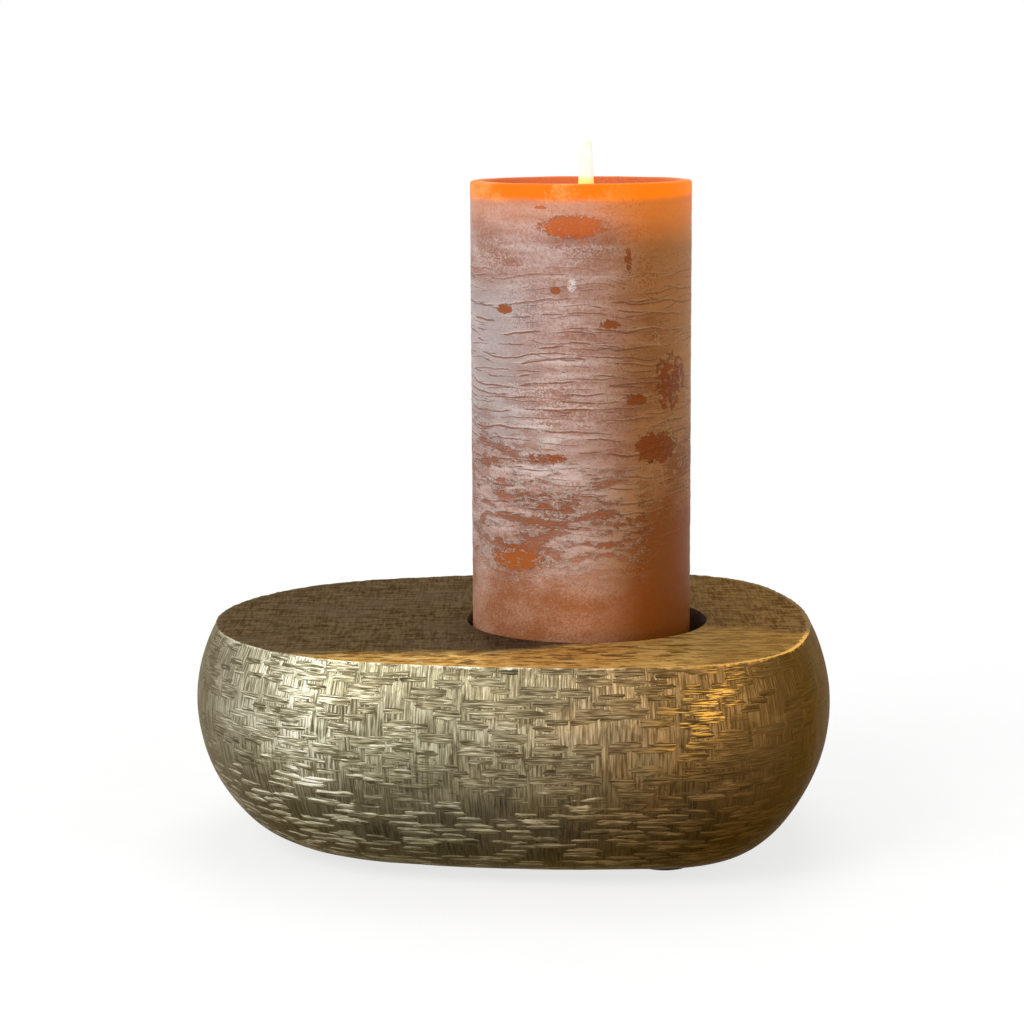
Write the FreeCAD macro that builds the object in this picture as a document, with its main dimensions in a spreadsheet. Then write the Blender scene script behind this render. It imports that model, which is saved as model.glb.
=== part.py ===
# A low pebble-shaped metal candle holder with a pillar candle standing in its off-centre well.
# The holder is one hollow sand casting on four stick-on pads.
# The candle is a real-wax pillar with a moulded light-up flame, and a battery unit in its foot.
# Frame: millimetres, +Z up, origin on the table under the middle of the holder.
# +X runs towards the blunt end, where the candle stands, and -Y faces the viewer.
import FreeCAD, Part
import math
import os
import re
import Sketcher

# Every size that can be set by itself, in millimetres unless the name says angle, count or share.
SIZES = {
    # Top face of the holder: a blunt pebble outline of tangent arcs
    "outline_length": 191.0,
    "outline_width": 154.5,
    "nose_set_in": 7.25,
    "side_radius": 260.0,
    "corner_radius": 43.0,
    "end_radius": 147.0,
    # Flank of the holder, seen in section from the sharp top edge down to the flat foot
    "body_height": 69.0,
    "widest_depth": 25.0,
    "flank_reach": 35.0,
    "flank_join_angle": 45.0,
    "casting_wall": 4.0,
    "wall_ring_share": 0.5,
    "web_lap_share": 0.25,
    # Round well for the candle
    "well_from_middle": 24.0,
    "well_to_front": 2.5,
    "well_play": 3.5,
    "well_depth": 9.5,
    "well_floor": 4.0,
    "well_lip": 0.4,
    "well_root_bevel": 3.0,
    # Opening under the casting, where the sand core was held
    "core_opening_length": 74.0,
    "core_opening_width": 46.0,
    "core_opening_from_middle": 4.0,
    "core_opening_bevel": 1.2,
    # Stick-on pads
    "pad_radius": 9.0,
    "pad_height": 2.2,
    "pad_round": 0.7,
    "pad_margin": 1.0,
    "nose_pad_angle": 45.0,
    # Wax body of the candle
    "wax_wall": 7.0,
    "candle_height": 150.0,
    "candle_to_left": 1.8,
    "wax_foot_round": 2.5,
    "wax_rim_round": 0.8,
    "rim_wall": 4.0,
    "melt_depth": 4.5,
    "melt_dish": 3.5,
    "wax_cone_height": 22.0,
    "wire_channel_radius": 5.0,
    "glue_gap": 0.3,
    # Moulded flame, measured up from the middle of the melt dish
    "flame_to_right": 1.6,
    "flame_height": 20.4,
    "flame_width": 5.2,
    "flame_lean": 0.75,
    "flame_stem_radius": 3.4,
    # Socket under the flame, and the lamp in it
    "socket_wall": 2.4,
    "socket_length": 12.0,
    "socket_floor": 2.0,
    "socket_fit": 0.15,
    "stem_fit": 0.1,
    "lamp_radius": 1.5,
    "lamp_height": 5.3,
    "lamp_dome_share": 0.9,
    "lamp_flange_reach": 0.4,
    "lamp_flange_height": 1.0,
    "lamp_fit": 0.15,
    "leg_width": 0.5,
    "leg_length": 5.0,
    "leg_spacing": 2.54,
    # Battery unit: case and cover
    "case_headroom": 6.0,
    "case_wall": 1.6,
    "case_floor": 2.0,
    "case_recess": 0.5,
    "case_edge_round": 0.5,
    "cover_height": 2.5,
    "cover_slot_length": 14.0,
    "cover_slot_width": 5.0,
    "screw_post_radius": 3.2,
    "screw_post_angle": 15.0,
    "screw_radius": 1.1,
    "screw_length": 9.0,
    "screw_point": 1.2,
    "screw_head_radius": 2.1,
    "screw_head_height": 1.5,
    "screw_slot_width": 0.6,
    "screw_slot_depth": 0.7,
    "screw_fit": 0.05,
    # Battery cells and their bays
    "cell_radius": 7.25,
    "cell_length": 50.5,
    "cell_nub_radius": 2.75,
    "cell_nub_height": 1.0,
    "cell_edge_round": 0.6,
    "cell_fit": 0.25,
    "cell_end_gap": 0.2,
    "bay_wall": 1.2,
    # Twist-off battery lid
    "lid_height": 2.0,
    "lid_fit": 0.2,
    "lid_lap": 1.0,
    "lid_edge_round": 0.4,
    "lid_ledge_height": 1.4,
    "lid_ear_reach": 1.6,
    "lid_ear_height": 1.2,
    "lid_ear_width": 8.0,
    "lid_twist_angle": 30.0,
    "lid_stop_width": 1.6,
    "lid_stop_gap_angle": 1.0,
    "collar_wall": 1.4,
    "coin_slot_length": 20.0,
    "coin_slot_width": 2.2,
    "coin_slot_depth": 1.1,
    # Contacts
    "contact_thickness": 0.4,
    "contact_gap": 1.0,
    "contact_lap": 0.9,
    "contact_tail_width": 4.0,
    "contact_nose_radius": 2.6,
    "bridge_width": 10.0,
    "spring_wire_radius": 0.35,
    "spring_top_radius": 4.0,
    "spring_tip_radius": 2.4,
    "spring_height": 4.2,
    "spring_gap": 0.05,
    # Circuit board and what it carries
    "board_width": 34.0,
    "board_over_contacts": 3.0,
    "board_thickness": 1.2,
    "rail_height": 30.0,
    "rail_wall": 1.3,
    "rail_depth": 1.2,
    "rail_fit": 0.15,
    "chip_length": 6.0,
    "chip_width": 4.0,
    "chip_height": 1.6,
    "chip_leg_pitch": 1.27,
    "chip_leg_width": 0.5,
    "chip_leg_reach": 1.0,
    "chip_leg_thickness": 0.3,
    "chip_up": 32.0,
    "capacitor_radius": 2.5,
    "capacitor_length": 6.5,
    "capacitor_edge_round": 0.4,
    "capacitor_up": 44.0,
    "capacitor_aside": 7.0,
    "resistor_radius": 1.1,
    "resistor_length": 5.5,
    "resistor_lead_radius": 0.3,
    "resistor_foot_radius": 0.25,
    "resistor_lead_reach": 1.6,
    "resistor_up": 44.0,
    "resistor_aside": 7.0,
    # Slide switch in the foot
    "switch_length": 10.0,
    "switch_depth": 4.4,
    "switch_height": 4.0,
    "switch_above_floor": 0.3,
    "switch_room": 7.25,
    "knob_width": 3.0,
    "knob_depth": 2.4,
    "knob_neck_depth": 1.6,
    "knob_head_height": 2.2,
    "knob_recess": 0.3,
    "knob_edge_bevel": 0.3,
    "switch_travel": 2.0,
    "knob_fit": 0.2,
    # Leads between the board and the lamp
    "wire_radius": 0.6,
    "wire_board_spacing": 8.0,
    "wire_bend_up": 14.0,
    "wire_bend_rise": 20.0,
    "wire_bend_share": 0.45,
    # One overrun for all cuts that pass right through
    "cut_over": 1.0,
}
CHIP_LEGS_PER_SIDE_COUNT = 4
SPRING_TURNS_COUNT = 3
QUARTERS_PER_TURN = 4

doc = FreeCAD.newDocument("candle_holder")
sheet = doc.addObject("Spreadsheet::Sheet", "Sizes")
for row, (alias, size) in enumerate(SIZES.items(), start=1):
    sheet.set(f"A{row}", alias.replace("_", " "))
    sheet.set(f"B{row}", str(size))
    sheet.setAlias(f"B{row}", alias)
doc.recompute()


def bound(text):
    """A sum of sizes as a formula that reads them from the sheet."""
    return re.sub(r"[a-z]+(?:_[a-z]+)+", lambda word: f"Sizes.{word.group()}", text)


def number(text):
    """What a sum of sizes comes to now, in millimetres."""
    return float(sheet.evalExpression(bound(text)))


def new_body(name):
    """An empty solid piece, named as its file is."""
    body = doc.addObject("PartDesign::Body", name)
    body.Label = name
    return body


def put(piece, x="0", y="0", z="0"):
    """Stands a finished piece at its place in the whole."""
    for axis, place in (("x", x), ("y", y), ("z", z)):
        if place != "0":
            piece.setExpression(f".Placement.Base.{axis}", bound(place))
    return piece


def new_sketch(body, name, role="XY_Plane", lift="0"):
    """A sketch on one of the piece's own planes, lifted square to it."""
    plane = next(item for item in body.Origin.OriginFeatures if item.Role == role)
    sketch = body.newObject("Sketcher::SketchObject", name)
    sketch.AttachmentSupport = [(plane, "")]
    sketch.MapMode = "FlatFace"
    if lift != "0":
        sketch.setExpression(".AttachmentOffset.Base.z", bound(lift))
    return sketch


def limit(sketch, kind, *where, size):
    """A constraint whose size is a sum of sizes."""
    index = sketch.addConstraint(Sketcher.Constraint(kind, *where, number(size)))
    sketch.setExpression(f"Constraints[{index}]", bound(size))


def pin(sketch, edge, end, x=None, y=None):
    """Holds one point of an edge at its distance from the sketch's axes."""
    for kind, axis, place in (("DistanceX", -2, x), ("DistanceY", -1, y)):
        if place == "0":
            sketch.addConstraint(Sketcher.Constraint("PointOnObject", edge, end, axis))
        elif place is not None:
            limit(sketch, kind, -1, 1, edge, end, size=place)


def polygon(sketch, corners):
    """A closed ring of straight lines through corners given as sums of sizes."""
    spots = [FreeCAD.Vector(number(x), number(y), 0) for x, y in corners]
    first = sketch.GeometryCount
    total = len(spots)
    for index in range(total):
        sketch.addGeometry(Part.LineSegment(spots[index], spots[(index + 1) % total]), False)
    for index, (x, y) in enumerate(corners):
        edge = first + index
        sketch.addConstraint(Sketcher.Constraint("Coincident", edge, 2, first + (index + 1) % total, 1))
        pin(sketch, edge, 1, x, y)


def rectangle(sketch, left, right, front, back):
    """A rectangle between four lines given as sums of sizes."""
    polygon(sketch, [(left, front), (right, front), (right, back), (left, back)])


def circle(sketch, radius, x="0", y="0"):
    """A circle of a given radius about a point."""
    middle = FreeCAD.Vector(number(x), number(y), 0)
    edge = sketch.addGeometry(Part.Circle(middle, FreeCAD.Vector(0, 0, 1), number(radius)), False)
    limit(sketch, "Radius", edge, size=radius)
    pin(sketch, edge, 3, x, y)


def stadium(sketch, length, width, x="0", y="0"):
    """A round-ended slot lying along X."""
    radius = number(width) / 2
    middle = FreeCAD.Vector(number(x), number(y), 0)
    half_run = FreeCAD.Vector(number(length) / 2 - radius, 0, 0)
    up = FreeCAD.Vector(0, radius, 0)
    right, left = middle + half_run, middle - half_run
    normal = FreeCAD.Vector(0, 0, 1)
    quarter = math.pi / 2
    ring = [
        Part.ArcOfCircle(Part.Circle(right, normal, radius), -quarter, quarter),
        Part.LineSegment(right + up, left + up),
        Part.ArcOfCircle(Part.Circle(left, normal, radius), quarter, 3 * quarter),
        Part.LineSegment(left - up, right - up),
    ]
    first = sketch.GeometryCount
    sketch.addGeometry(ring, False)
    for index in range(len(ring)):
        following = first + (index + 1) % len(ring)
        sketch.addConstraint(Sketcher.Constraint("Tangent", first + index, 2, following, 1))
    limit(sketch, "Radius", first, size=f"({width}) / 2")
    sketch.addConstraint(Sketcher.Constraint("Equal", first, first + 2))
    for edge, sign in ((first, "+"), (first + 2, "-")):
        pin(sketch, edge, 3, f"{x} {sign} (({length}) - ({width})) / 2", y)


def feature(body, kind, name, sketch, length=None, reverse=False):
    """A pad, pocket or turned feature made from a sketch."""
    made = body.newObject(f"PartDesign::{kind}", name)
    made.Profile = sketch
    if kind in ("Revolution", "Groove"):
        made.ReferenceAxis = (sketch, ["V_Axis"])
    else:
        made.setExpression("Length", bound(length))
    made.Reversed = reverse
    sketch.Visibility = False
    body.Tip = made
    return made


def soften(body, kind, name, size, wanted):
    """Rounds or bevels those edges of the piece so far that the test picks."""
    doc.recompute()
    base = body.Tip
    edges = [f"Edge{index}" for index, edge in enumerate(base.Shape.Edges, start=1) if wanted(edge)]
    if not edges:
        raise RuntimeError(f"{body.Label}: no edge to soften for {name}")
    made = body.newObject(f"PartDesign::{kind}", name)
    made.Base = (base, edges)
    made.setExpression("Radius" if kind == "Fillet" else "Size", bound(size))
    body.Tip = made
    return made


def near(first, second):
    """Whether two lengths are the same to a tenth of the thinnest sheet."""
    return abs(first - second) < number("contact_thickness") / 10


def ring_at(radius, level):
    """A test for round edges of one radius at one height."""
    def wanted(edge):
        if not isinstance(edge.Curve, Part.Circle):
            return False
        return near(edge.Curve.Radius, number(radius)) and near(edge.BoundBox.ZMin, number(level))
    return wanted


# The left end's arc is a little smaller than a half circle across the whole width would be.
nose_radius = "(outline_width / 2 - nose_set_in)"

# The flank's section is two arcs that join smoothly. The large one runs from the top edge past
# the widest point, and the small one turns under into the flat foot.
flank_drop = "(body_height - widest_depth)"
join_sine = "sin(flank_join_angle)"
join_cosine = "cos(flank_join_angle)"
flank_radius = (
    f"(({flank_drop} * {join_cosine} - flank_reach * (1 - {join_sine}))"
    f" / ({join_sine} + {join_cosine} - 1))"
)
top_edge_to_centre = f"sqrt({flank_radius} ^ 2 - widest_depth ^ 2)"
bulge = f"({flank_radius} - {top_edge_to_centre})"
foot_inset = f"(flank_reach - {bulge})"
ring_inset = f"({foot_inset} + (corner_radius - {foot_inset}) * wall_ring_share)"
web_inset = f"({foot_inset} + (corner_radius - {foot_inset}) * web_lap_share)"
well_x = "well_from_middle"
well_y = "-well_to_front"

# The candle stands on the well's floor, a little left of the well's middle. Its pieces are
# measured from the middle of its foot, and the flame's from the middle of the melt dish.
candle_at = {
    "x": "well_from_middle - candle_to_left",
    "y": "-well_to_front",
    "z": "pad_height + body_height - well_depth",
}
dish_level = "(candle_height - melt_depth - melt_dish)"
flame_at = {
    "x": f"{candle_at['x']} + flame_to_right",
    "y": candle_at["y"],
    "z": f"{candle_at['z']} + {dish_level}",
}
socket_radius = "(flame_stem_radius + stem_fit + socket_wall)"
leg_hole_radius = "(lamp_radius + lamp_fit)"
leg_end_level = "(-socket_length + socket_floor - leg_length)"

# Battery unit, sideways: the two cells side by side set the lid, the collar round it and the
# place of the board and switch behind it.
bay_radius = "(cell_radius + cell_fit)"
cell_aside = f"({bay_radius} + bay_wall / 2)"
boss_radius = f"({cell_aside} + {bay_radius} + lid_fit)"
collar_bore = f"({boss_radius} + lid_fit)"
ear_radius = f"({boss_radius} + lid_ear_reach)"
groove_radius = f"({ear_radius} + lid_fit)"
lid_radius = f"({ear_radius} + lid_lap)"
collar_radius = f"({lid_radius} + lid_fit + collar_wall)"
behind_collar = "(rail_fit + board_thickness + switch_depth + switch_room)"
case_radius = f"({collar_radius} + (case_wall / 2 + {behind_collar} + case_wall) / 2)"
cells_y = f"(-({case_radius} - {collar_radius} - case_wall / 2))"
board_front = f"({cells_y} + {collar_radius} + rail_fit)"
board_back = f"({board_front} + board_thickness)"
switch_y = f"({board_back} + switch_depth / 2)"
post_run = f"({case_radius} - case_wall / 2 - screw_post_radius)"
post_x = f"({post_run} * cos(screw_post_angle))"
post_y = f"({post_run} * sin(screw_post_angle))"

# The wax wall round the battery unit sets the candle's radius, and that sets the well's.
candle_radius = f"({case_radius} + glue_gap + wax_wall)"
well_radius = f"({candle_radius} + well_play)"

# Battery unit, upwards: lid, ledge, ear groove, cells, contacts, board, cover, wax cone.
floor_level = "(case_recess + case_floor)"
lid_top = "(case_recess + lid_height)"
ledge_bottom = f"({lid_top} + lid_fit)"
ledge_top = f"({ledge_bottom} + lid_ledge_height)"
ear_bottom = f"({ledge_top} + lid_fit)"
boss_top = f"({ear_bottom} + lid_ear_height)"
bay_bottom = f"({boss_top} + contact_thickness + cell_end_gap)"
cell_top = f"({bay_bottom} + cell_length)"
bay_top = f"({cell_top} + spring_height + cell_end_gap)"
board_top = f"({bay_top} + board_over_contacts)"
case_top = f"({board_top} + case_headroom)"
cover_top = f"({case_top} + cover_height)"
cone_bottom = f"({cover_top} + glue_gap)"
cone_top = f"({cone_bottom} + wax_cone_height)"
switch_bottom = f"({floor_level} + switch_above_floor)"


def outline_centres():
    """The middles of the arcs of the top face's outline, on its +Y side."""
    nose = FreeCAD.Vector(number(f"-outline_length / 2 + {nose_radius}"), 0, 0)
    end = FreeCAD.Vector(number("outline_length / 2 - end_radius"), 0, 0)
    side_back = number("outline_width / 2 - side_radius")
    nose_to_side = number(f"side_radius - {nose_radius}")
    side = FreeCAD.Vector(nose.x + math.sqrt(nose_to_side ** 2 - side_back ** 2), side_back, 0)
    side_to_corner = number("side_radius - corner_radius")
    end_to_corner = number("end_radius - corner_radius")
    apart = (end - side).Length
    along = (side_to_corner ** 2 - end_to_corner ** 2 + apart ** 2) / (2 * apart)
    across = math.sqrt(side_to_corner ** 2 - along ** 2)
    forward = (end - side) / apart
    square = FreeCAD.Vector(-forward.y, forward.x, 0)
    meetings = [side + forward * along + square * across * sign for sign in (1, -1)]
    corner = max(meetings, key=lambda spot: spot.y)
    return nose, side, corner, end


def outline(sketch, inset="0"):
    """The pebble outline, drawn in by a named inset: nose, side, corner and end, and the same again."""
    nose, side, corner, end = outline_centres()
    cut = number(inset)
    arcs = (nose_radius, "side_radius", "corner_radius", "end_radius")
    middles = (nose, side, corner, end)
    radii = [number(radius) - cut for radius in arcs]

    def touch(far, close, radius):
        return far + (close - far).normalize() * radius

    joints = [
        nose - FreeCAD.Vector(radii[0], 0, 0),
        touch(side, nose, radii[1]),
        touch(side, corner, radii[1]),
        touch(end, corner, radii[3]),
        end + FreeCAD.Vector(radii[3], 0, 0),
    ]

    def mirrored(spot):
        return FreeCAD.Vector(spot.x, -spot.y, 0)

    def arc(middle, radius, start, finish):
        """An arc run anticlockwise from start to finish."""
        angles = [math.atan2(spot.y - middle.y, spot.x - middle.x) for spot in (start, finish)]
        if angles[1] < angles[0]:
            angles[1] += 2 * math.pi
        return Part.ArcOfCircle(Part.Circle(middle, FreeCAD.Vector(0, 0, 1), radius), *angles)

    lower = [
        arc(mirrored(middles[i]), radii[i], mirrored(joints[i]), mirrored(joints[i + 1])) for i in range(4)
    ]
    upper = [arc(middles[i], radii[i], joints[i + 1], joints[i]) for i in reversed(range(4))]
    sketch.addGeometry(lower + upper, False)
    for edge in range(8):
        following = (edge + 1) % 8
        kind = "Coincident" if edge in (3, 7) else "Tangent"
        sketch.addConstraint(Sketcher.Constraint(kind, edge, 2, following, 1))
    for edge, mate in ((0, 7), (3, 4)):
        sketch.addConstraint(Sketcher.Constraint("Coincident", edge, 3, mate, 3))
    pin(sketch, 0, 3, f"-outline_length / 2 + {nose_radius}", "0")
    pin(sketch, 3, 3, "outline_length / 2 - end_radius", "0")
    pin(sketch, 0, 1, y="0")
    pin(sketch, 3, 2, y="0")
    pin(sketch, 1, 3, y="side_radius - outline_width / 2")
    pin(sketch, 6, 3, y="outline_width / 2 - side_radius")
    for edge, kind in ((0, 0), (1, 1), (2, 2), (3, 3), (5, 2), (6, 1)):
        limit(sketch, "Radius", edge, size=f"{arcs[kind]} - {inset}")


def wall_section(sketch):
    """The casting's wall in section at the nose: top web, bulging flank and foot flange."""
    left = "-outline_length / 2"
    ring_end = f"{left} + {ring_inset}"
    foot_x = f"{left} + {foot_inset}"
    height = number("body_height")
    wall = number("casting_wall")
    up = FreeCAD.Vector(0, wall, 0)
    big = FreeCAD.Vector(number(f"{left} + {top_edge_to_centre}"), number(flank_drop), 0)
    big_radius = number(flank_radius)
    join = math.radians(number("flank_join_angle"))
    to_join = FreeCAD.Vector(-math.cos(join), -math.sin(join), 0)
    small_radius = (number(flank_drop) - big_radius * math.sin(join)) / (1 - math.sin(join))
    small = FreeCAD.Vector(number(foot_x), small_radius, 0)
    inner_rise = number("widest_depth") - wall
    inner_run = math.sqrt((big_radius - wall) ** 2 - inner_rise ** 2)
    top_edge = FreeCAD.Vector(number(left), height, 0)
    inner_top = FreeCAD.Vector(big.x - inner_run, height - wall, 0)
    foot_edge = FreeCAD.Vector(small.x, 0, 0)
    foot_end = FreeCAD.Vector(number(ring_end), 0, 0)
    top_end = foot_end + FreeCAD.Vector(0, height, 0)

    def bend(middle, radius, start, finish):
        halfway = (start + finish) / 2 - middle
        return Part.Arc(start, middle + halfway.normalize() * radius, finish)

    sketch.addGeometry([
        bend(big, big_radius, top_edge, big + to_join * big_radius),
        bend(small, small_radius, small + to_join * small_radius, foot_edge),
        Part.LineSegment(foot_edge, foot_end),
        Part.LineSegment(foot_end, foot_end + up),
        Part.LineSegment(foot_end + up, foot_edge + up),
        bend(small, small_radius - wall, small + to_join * (small_radius - wall), foot_edge + up),
        bend(big, big_radius - wall, inner_top, big + to_join * (big_radius - wall)),
        Part.LineSegment(inner_top, top_end - up),
        Part.LineSegment(top_end - up, top_end),
        Part.LineSegment(top_end, top_edge),
    ], False)
    pin(sketch, 0, 3, f"{left} + {top_edge_to_centre}", flank_drop)
    pin(sketch, 0, 1, left, "body_height")
    sketch.addConstraint(Sketcher.Constraint("Tangent", 0, 2, 1, 1))
    pin(sketch, 1, 3, x=foot_x)
    pin(sketch, 1, 2, foot_x, "0")
    for edge, end, mate, start in (
        (1, 2, 2, 1),
        (2, 2, 3, 1),
        (3, 2, 4, 1),
        (4, 2, 5, 2),
        (5, 3, 1, 3),
        (6, 3, 0, 3),
        (6, 1, 7, 1),
        (7, 2, 8, 1),
        (8, 2, 9, 1),
        (9, 2, 0, 1),
    ):
        sketch.addConstraint(Sketcher.Constraint("Coincident", edge, end, mate, start))
    sketch.addConstraint(Sketcher.Constraint("Tangent", 6, 2, 5, 1))
    pin(sketch, 6, 1, y="body_height - casting_wall")
    pin(sketch, 2, 2, ring_end, "0")
    pin(sketch, 3, 2, ring_end, "casting_wall")
    pin(sketch, 4, 2, foot_x, "casting_wall")
    pin(sketch, 7, 2, ring_end, "body_height - casting_wall")
    pin(sketch, 8, 2, ring_end, "body_height")


def holder_casting():
    """The one-piece hollow casting: flank, top face, well cup and foot flange."""
    body = new_body("holder_casting")
    path = new_sketch(body, "top_outline", lift="body_height")
    outline(path)
    section = new_sketch(body, "wall_section", "XZ_Plane")
    wall_section(section)
    doc.recompute()
    wall = body.newObject("PartDesign::AdditivePipe", "swept_wall")
    wall.Profile = section
    wall.Spine = (path, [f"Edge{index + 1}" for index in range(path.GeometryCount)])
    wall.Mode = "Standard"
    body.Tip = wall
    for name, lift, down in (("top_web", "body_height", True), ("foot_web", "0", False)):
        web = new_sketch(body, f"{name}_outline", lift=lift)
        outline(web, web_inset)
        feature(body, "Pad", name, web, "casting_wall", reverse=down)
    cup = new_sketch(body, "well_cup_outline", lift="body_height")
    circle(cup, f"{well_radius} + casting_wall", well_x, well_y)
    feature(body, "Pad", "well_cup", cup, "well_depth + well_floor", reverse=True)
    well = new_sketch(body, "well_outline", lift="body_height")
    circle(well, well_radius, well_x, well_y)
    feature(body, "Pocket", "well", well, "well_depth")
    opening = new_sketch(body, "core_opening_outline", lift="casting_wall")
    stadium(opening, "core_opening_length", "core_opening_width", "core_opening_from_middle")
    feature(body, "Pocket", "core_opening", opening, "casting_wall + cut_over")
    soften(body, "Chamfer", "well_lip", "well_lip", ring_at(well_radius, "body_height"))
    root = ring_at(f"{well_radius} + casting_wall", "body_height - casting_wall")
    soften(body, "Chamfer", "well_root", "well_root_bevel", root)
    reach = number("core_opening_from_middle + core_opening_length / 2 + casting_wall")

    def opening_edge(edge):
        box = edge.BoundBox
        return near(box.ZMin, 0) and near(box.ZMax, 0) and max(abs(box.XMin), abs(box.XMax)) < reach

    soften(body, "Chamfer", "core_opening_edge", "core_opening_bevel", opening_edge)
    return put(body, z="pad_height")


def foot_pads():
    """Four round stick-on pads, one under each end of the flat foot, clear of the opening."""
    corner = outline_centres()[2]
    pads = []
    inward = f"({foot_inset} + pad_radius + pad_margin)"
    nose_run = f"({nose_radius} - {inward})"
    corner_y = corner.y + number(f"corner_radius - {inward}")
    for side, sign in (("back", 1), ("front", -1)):
        for end in ("right", "left"):
            body = new_body(f"foot_pad_{side}_{end}")
            disc = new_sketch(body, f"pad_outline_{side}_{end}")
            circle(disc, "pad_radius")
            feature(body, "Pad", f"pad_disc_{side}_{end}", disc, "pad_height")
            soften(body, "Fillet", f"pad_edge_{side}_{end}", "pad_round", ring_at("pad_radius", "0"))
            pads.append(body)
        pads[-2].Placement.Base = FreeCAD.Vector(corner.x, sign * corner_y, 0)
        put(
            pads[-1],
            f"-outline_length / 2 + {nose_radius} - {nose_run} * cos(nose_pad_angle)",
            f"{sign} * {nose_run} * sin(nose_pad_angle)",
        )
    return pads


def wax_body():
    """The real-wax pillar: shallow melt dish on top, bore for the battery unit below."""
    body = new_body("wax_body")
    turned = new_sketch(body, "wax_section", "XZ_Plane")
    bore = f"{case_radius} + glue_gap"
    rim = f"{candle_radius} - rim_wall"
    polygon(turned, [
        (bore, "0"),
        (candle_radius, "0"),
        (candle_radius, "candle_height"),
        (rim, "candle_height"),
        (rim, "candle_height - melt_depth"),
        ("0", dish_level),
        ("0", cone_top),
        ("wire_channel_radius", cone_top),
        (bore, cone_bottom),
    ])
    feature(body, "Revolution", "wax_turned", turned)
    socket = new_sketch(body, "socket_bore_outline", lift="candle_height")
    circle(socket, f"{socket_radius} + socket_fit", "flame_to_right")
    feature(body, "Pocket", "socket_bore", socket, "melt_depth + melt_dish + socket_length")
    channel = new_sketch(body, "wire_channel_outline", lift=f"{dish_level} - socket_length")
    circle(channel, "wire_channel_radius", "flame_to_right")
    feature(body, "Pocket", "wire_channel", channel, f"{dish_level} - socket_length - {cone_top} + cut_over")
    soften(body, "Fillet", "wax_foot", "wax_foot_round", ring_at(candle_radius, "0"))
    soften(body, "Fillet", "wax_rim_outside", "wax_rim_round", ring_at(candle_radius, "candle_height"))
    soften(body, "Fillet", "wax_rim_inside", "wax_rim_round", ring_at(rim, "candle_height"))
    return put(body, **candle_at)


# The moulded flame's sections from foot to tip: height, width and lean, each as a share of the whole.
FLAME_SHARES = [
    (0.00, 0.90, 0.00),
    (0.20, 1.00, 0.00),
    (0.40, 0.94, 0.01),
    (0.60, 0.86, 0.05),
    (0.73, 0.77, 0.15),
    (0.87, 0.58, 0.50),
    (0.95, 0.38, 0.85),
    (1.00, 0.16, 1.00),
]


def flame_tip():
    """The translucent moulded flame, with a stem that drops over the lamp in the socket."""
    body = new_body("flame_tip")
    rings = []
    for index, (height_share, width_share, lean_share) in enumerate(FLAME_SHARES):
        lift = f"flame_height * {height_share}" if height_share else "0"
        ring = new_sketch(body, f"flame_ring_{index}", lift=lift)
        place = f"flame_lean * {lean_share}" if lean_share else "0"
        circle(ring, f"flame_width * {width_share} / 2", place)
        rings.append(ring)
    doc.recompute()
    blade = body.newObject("PartDesign::AdditiveLoft", "flame_blade")
    blade.Profile = rings[0]
    blade.Sections = rings[1:]
    body.Tip = blade
    stem = new_sketch(body, "flame_stem_outline")
    circle(stem, "flame_stem_radius")
    feature(body, "Pad", "flame_stem", stem, "socket_length - socket_floor", reverse=True)
    foot = "-socket_length + socket_floor"
    for name, radius, depth in (
        ("lamp_bore", "lamp_radius + lamp_fit", "lamp_height + lamp_fit"),
        ("flange_bore", "lamp_radius + lamp_flange_reach + lamp_fit", "lamp_flange_height + lamp_fit"),
    ):
        bore = new_sketch(body, f"{name}_outline", lift=foot)
        circle(bore, radius)
        feature(body, "Pocket", name, bore, depth, reverse=True)
    return put(body, **flame_at)


def flame_socket():
    """The white cup sunk in the wax, which holds the flame's stem and the lamp."""
    body = new_body("flame_socket")
    turned = new_sketch(body, "socket_section", "XZ_Plane")
    cup = "flame_stem_radius + stem_fit"
    floor = "-socket_length + socket_floor"
    polygon(turned, [
        (leg_hole_radius, "-socket_length"),
        (socket_radius, "-socket_length"),
        (socket_radius, "0"),
        (cup, "0"),
        (cup, floor),
        (leg_hole_radius, floor),
    ])
    feature(body, "Revolution", "socket_turned", turned)
    return put(body, **flame_at)


def lamp():
    """The small round-topped lamp, standing on the socket's floor."""
    body = new_body("flicker_lamp")
    turned = new_sketch(body, "lamp_section", "XZ_Plane")
    foot = "-socket_length + socket_floor"
    flange = "lamp_radius + lamp_flange_reach"
    polygon(turned, [
        ("0", foot),
        (flange, foot),
        (flange, f"{foot} + lamp_flange_height"),
        ("lamp_radius", f"{foot} + lamp_flange_height"),
        ("lamp_radius", f"{foot} + lamp_height"),
        ("0", f"{foot} + lamp_height"),
    ])
    feature(body, "Revolution", "lamp_turned", turned)
    top = ring_at("lamp_radius", f"{foot} + lamp_height")
    soften(body, "Fillet", "lamp_dome", "lamp_radius * lamp_dome_share", top)
    return put(body, **flame_at)


def lamp_legs():
    """The lamp's two square tinned legs, which hang through the socket's floor."""
    body = new_body("lamp_legs")
    body.AllowCompound = True
    legs = new_sketch(body, "leg_outlines", lift="-socket_length + socket_floor")
    half_leg = "leg_width / 2"
    for sign in ("-", ""):
        middle = f"{sign}leg_spacing / 2"
        rectangle(legs, f"{middle} - {half_leg}", f"{middle} + {half_leg}", f"-{half_leg}", half_leg)
    feature(body, "Pad", "legs", legs, "leg_length", reverse=True)
    return put(body, **flame_at)


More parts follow.
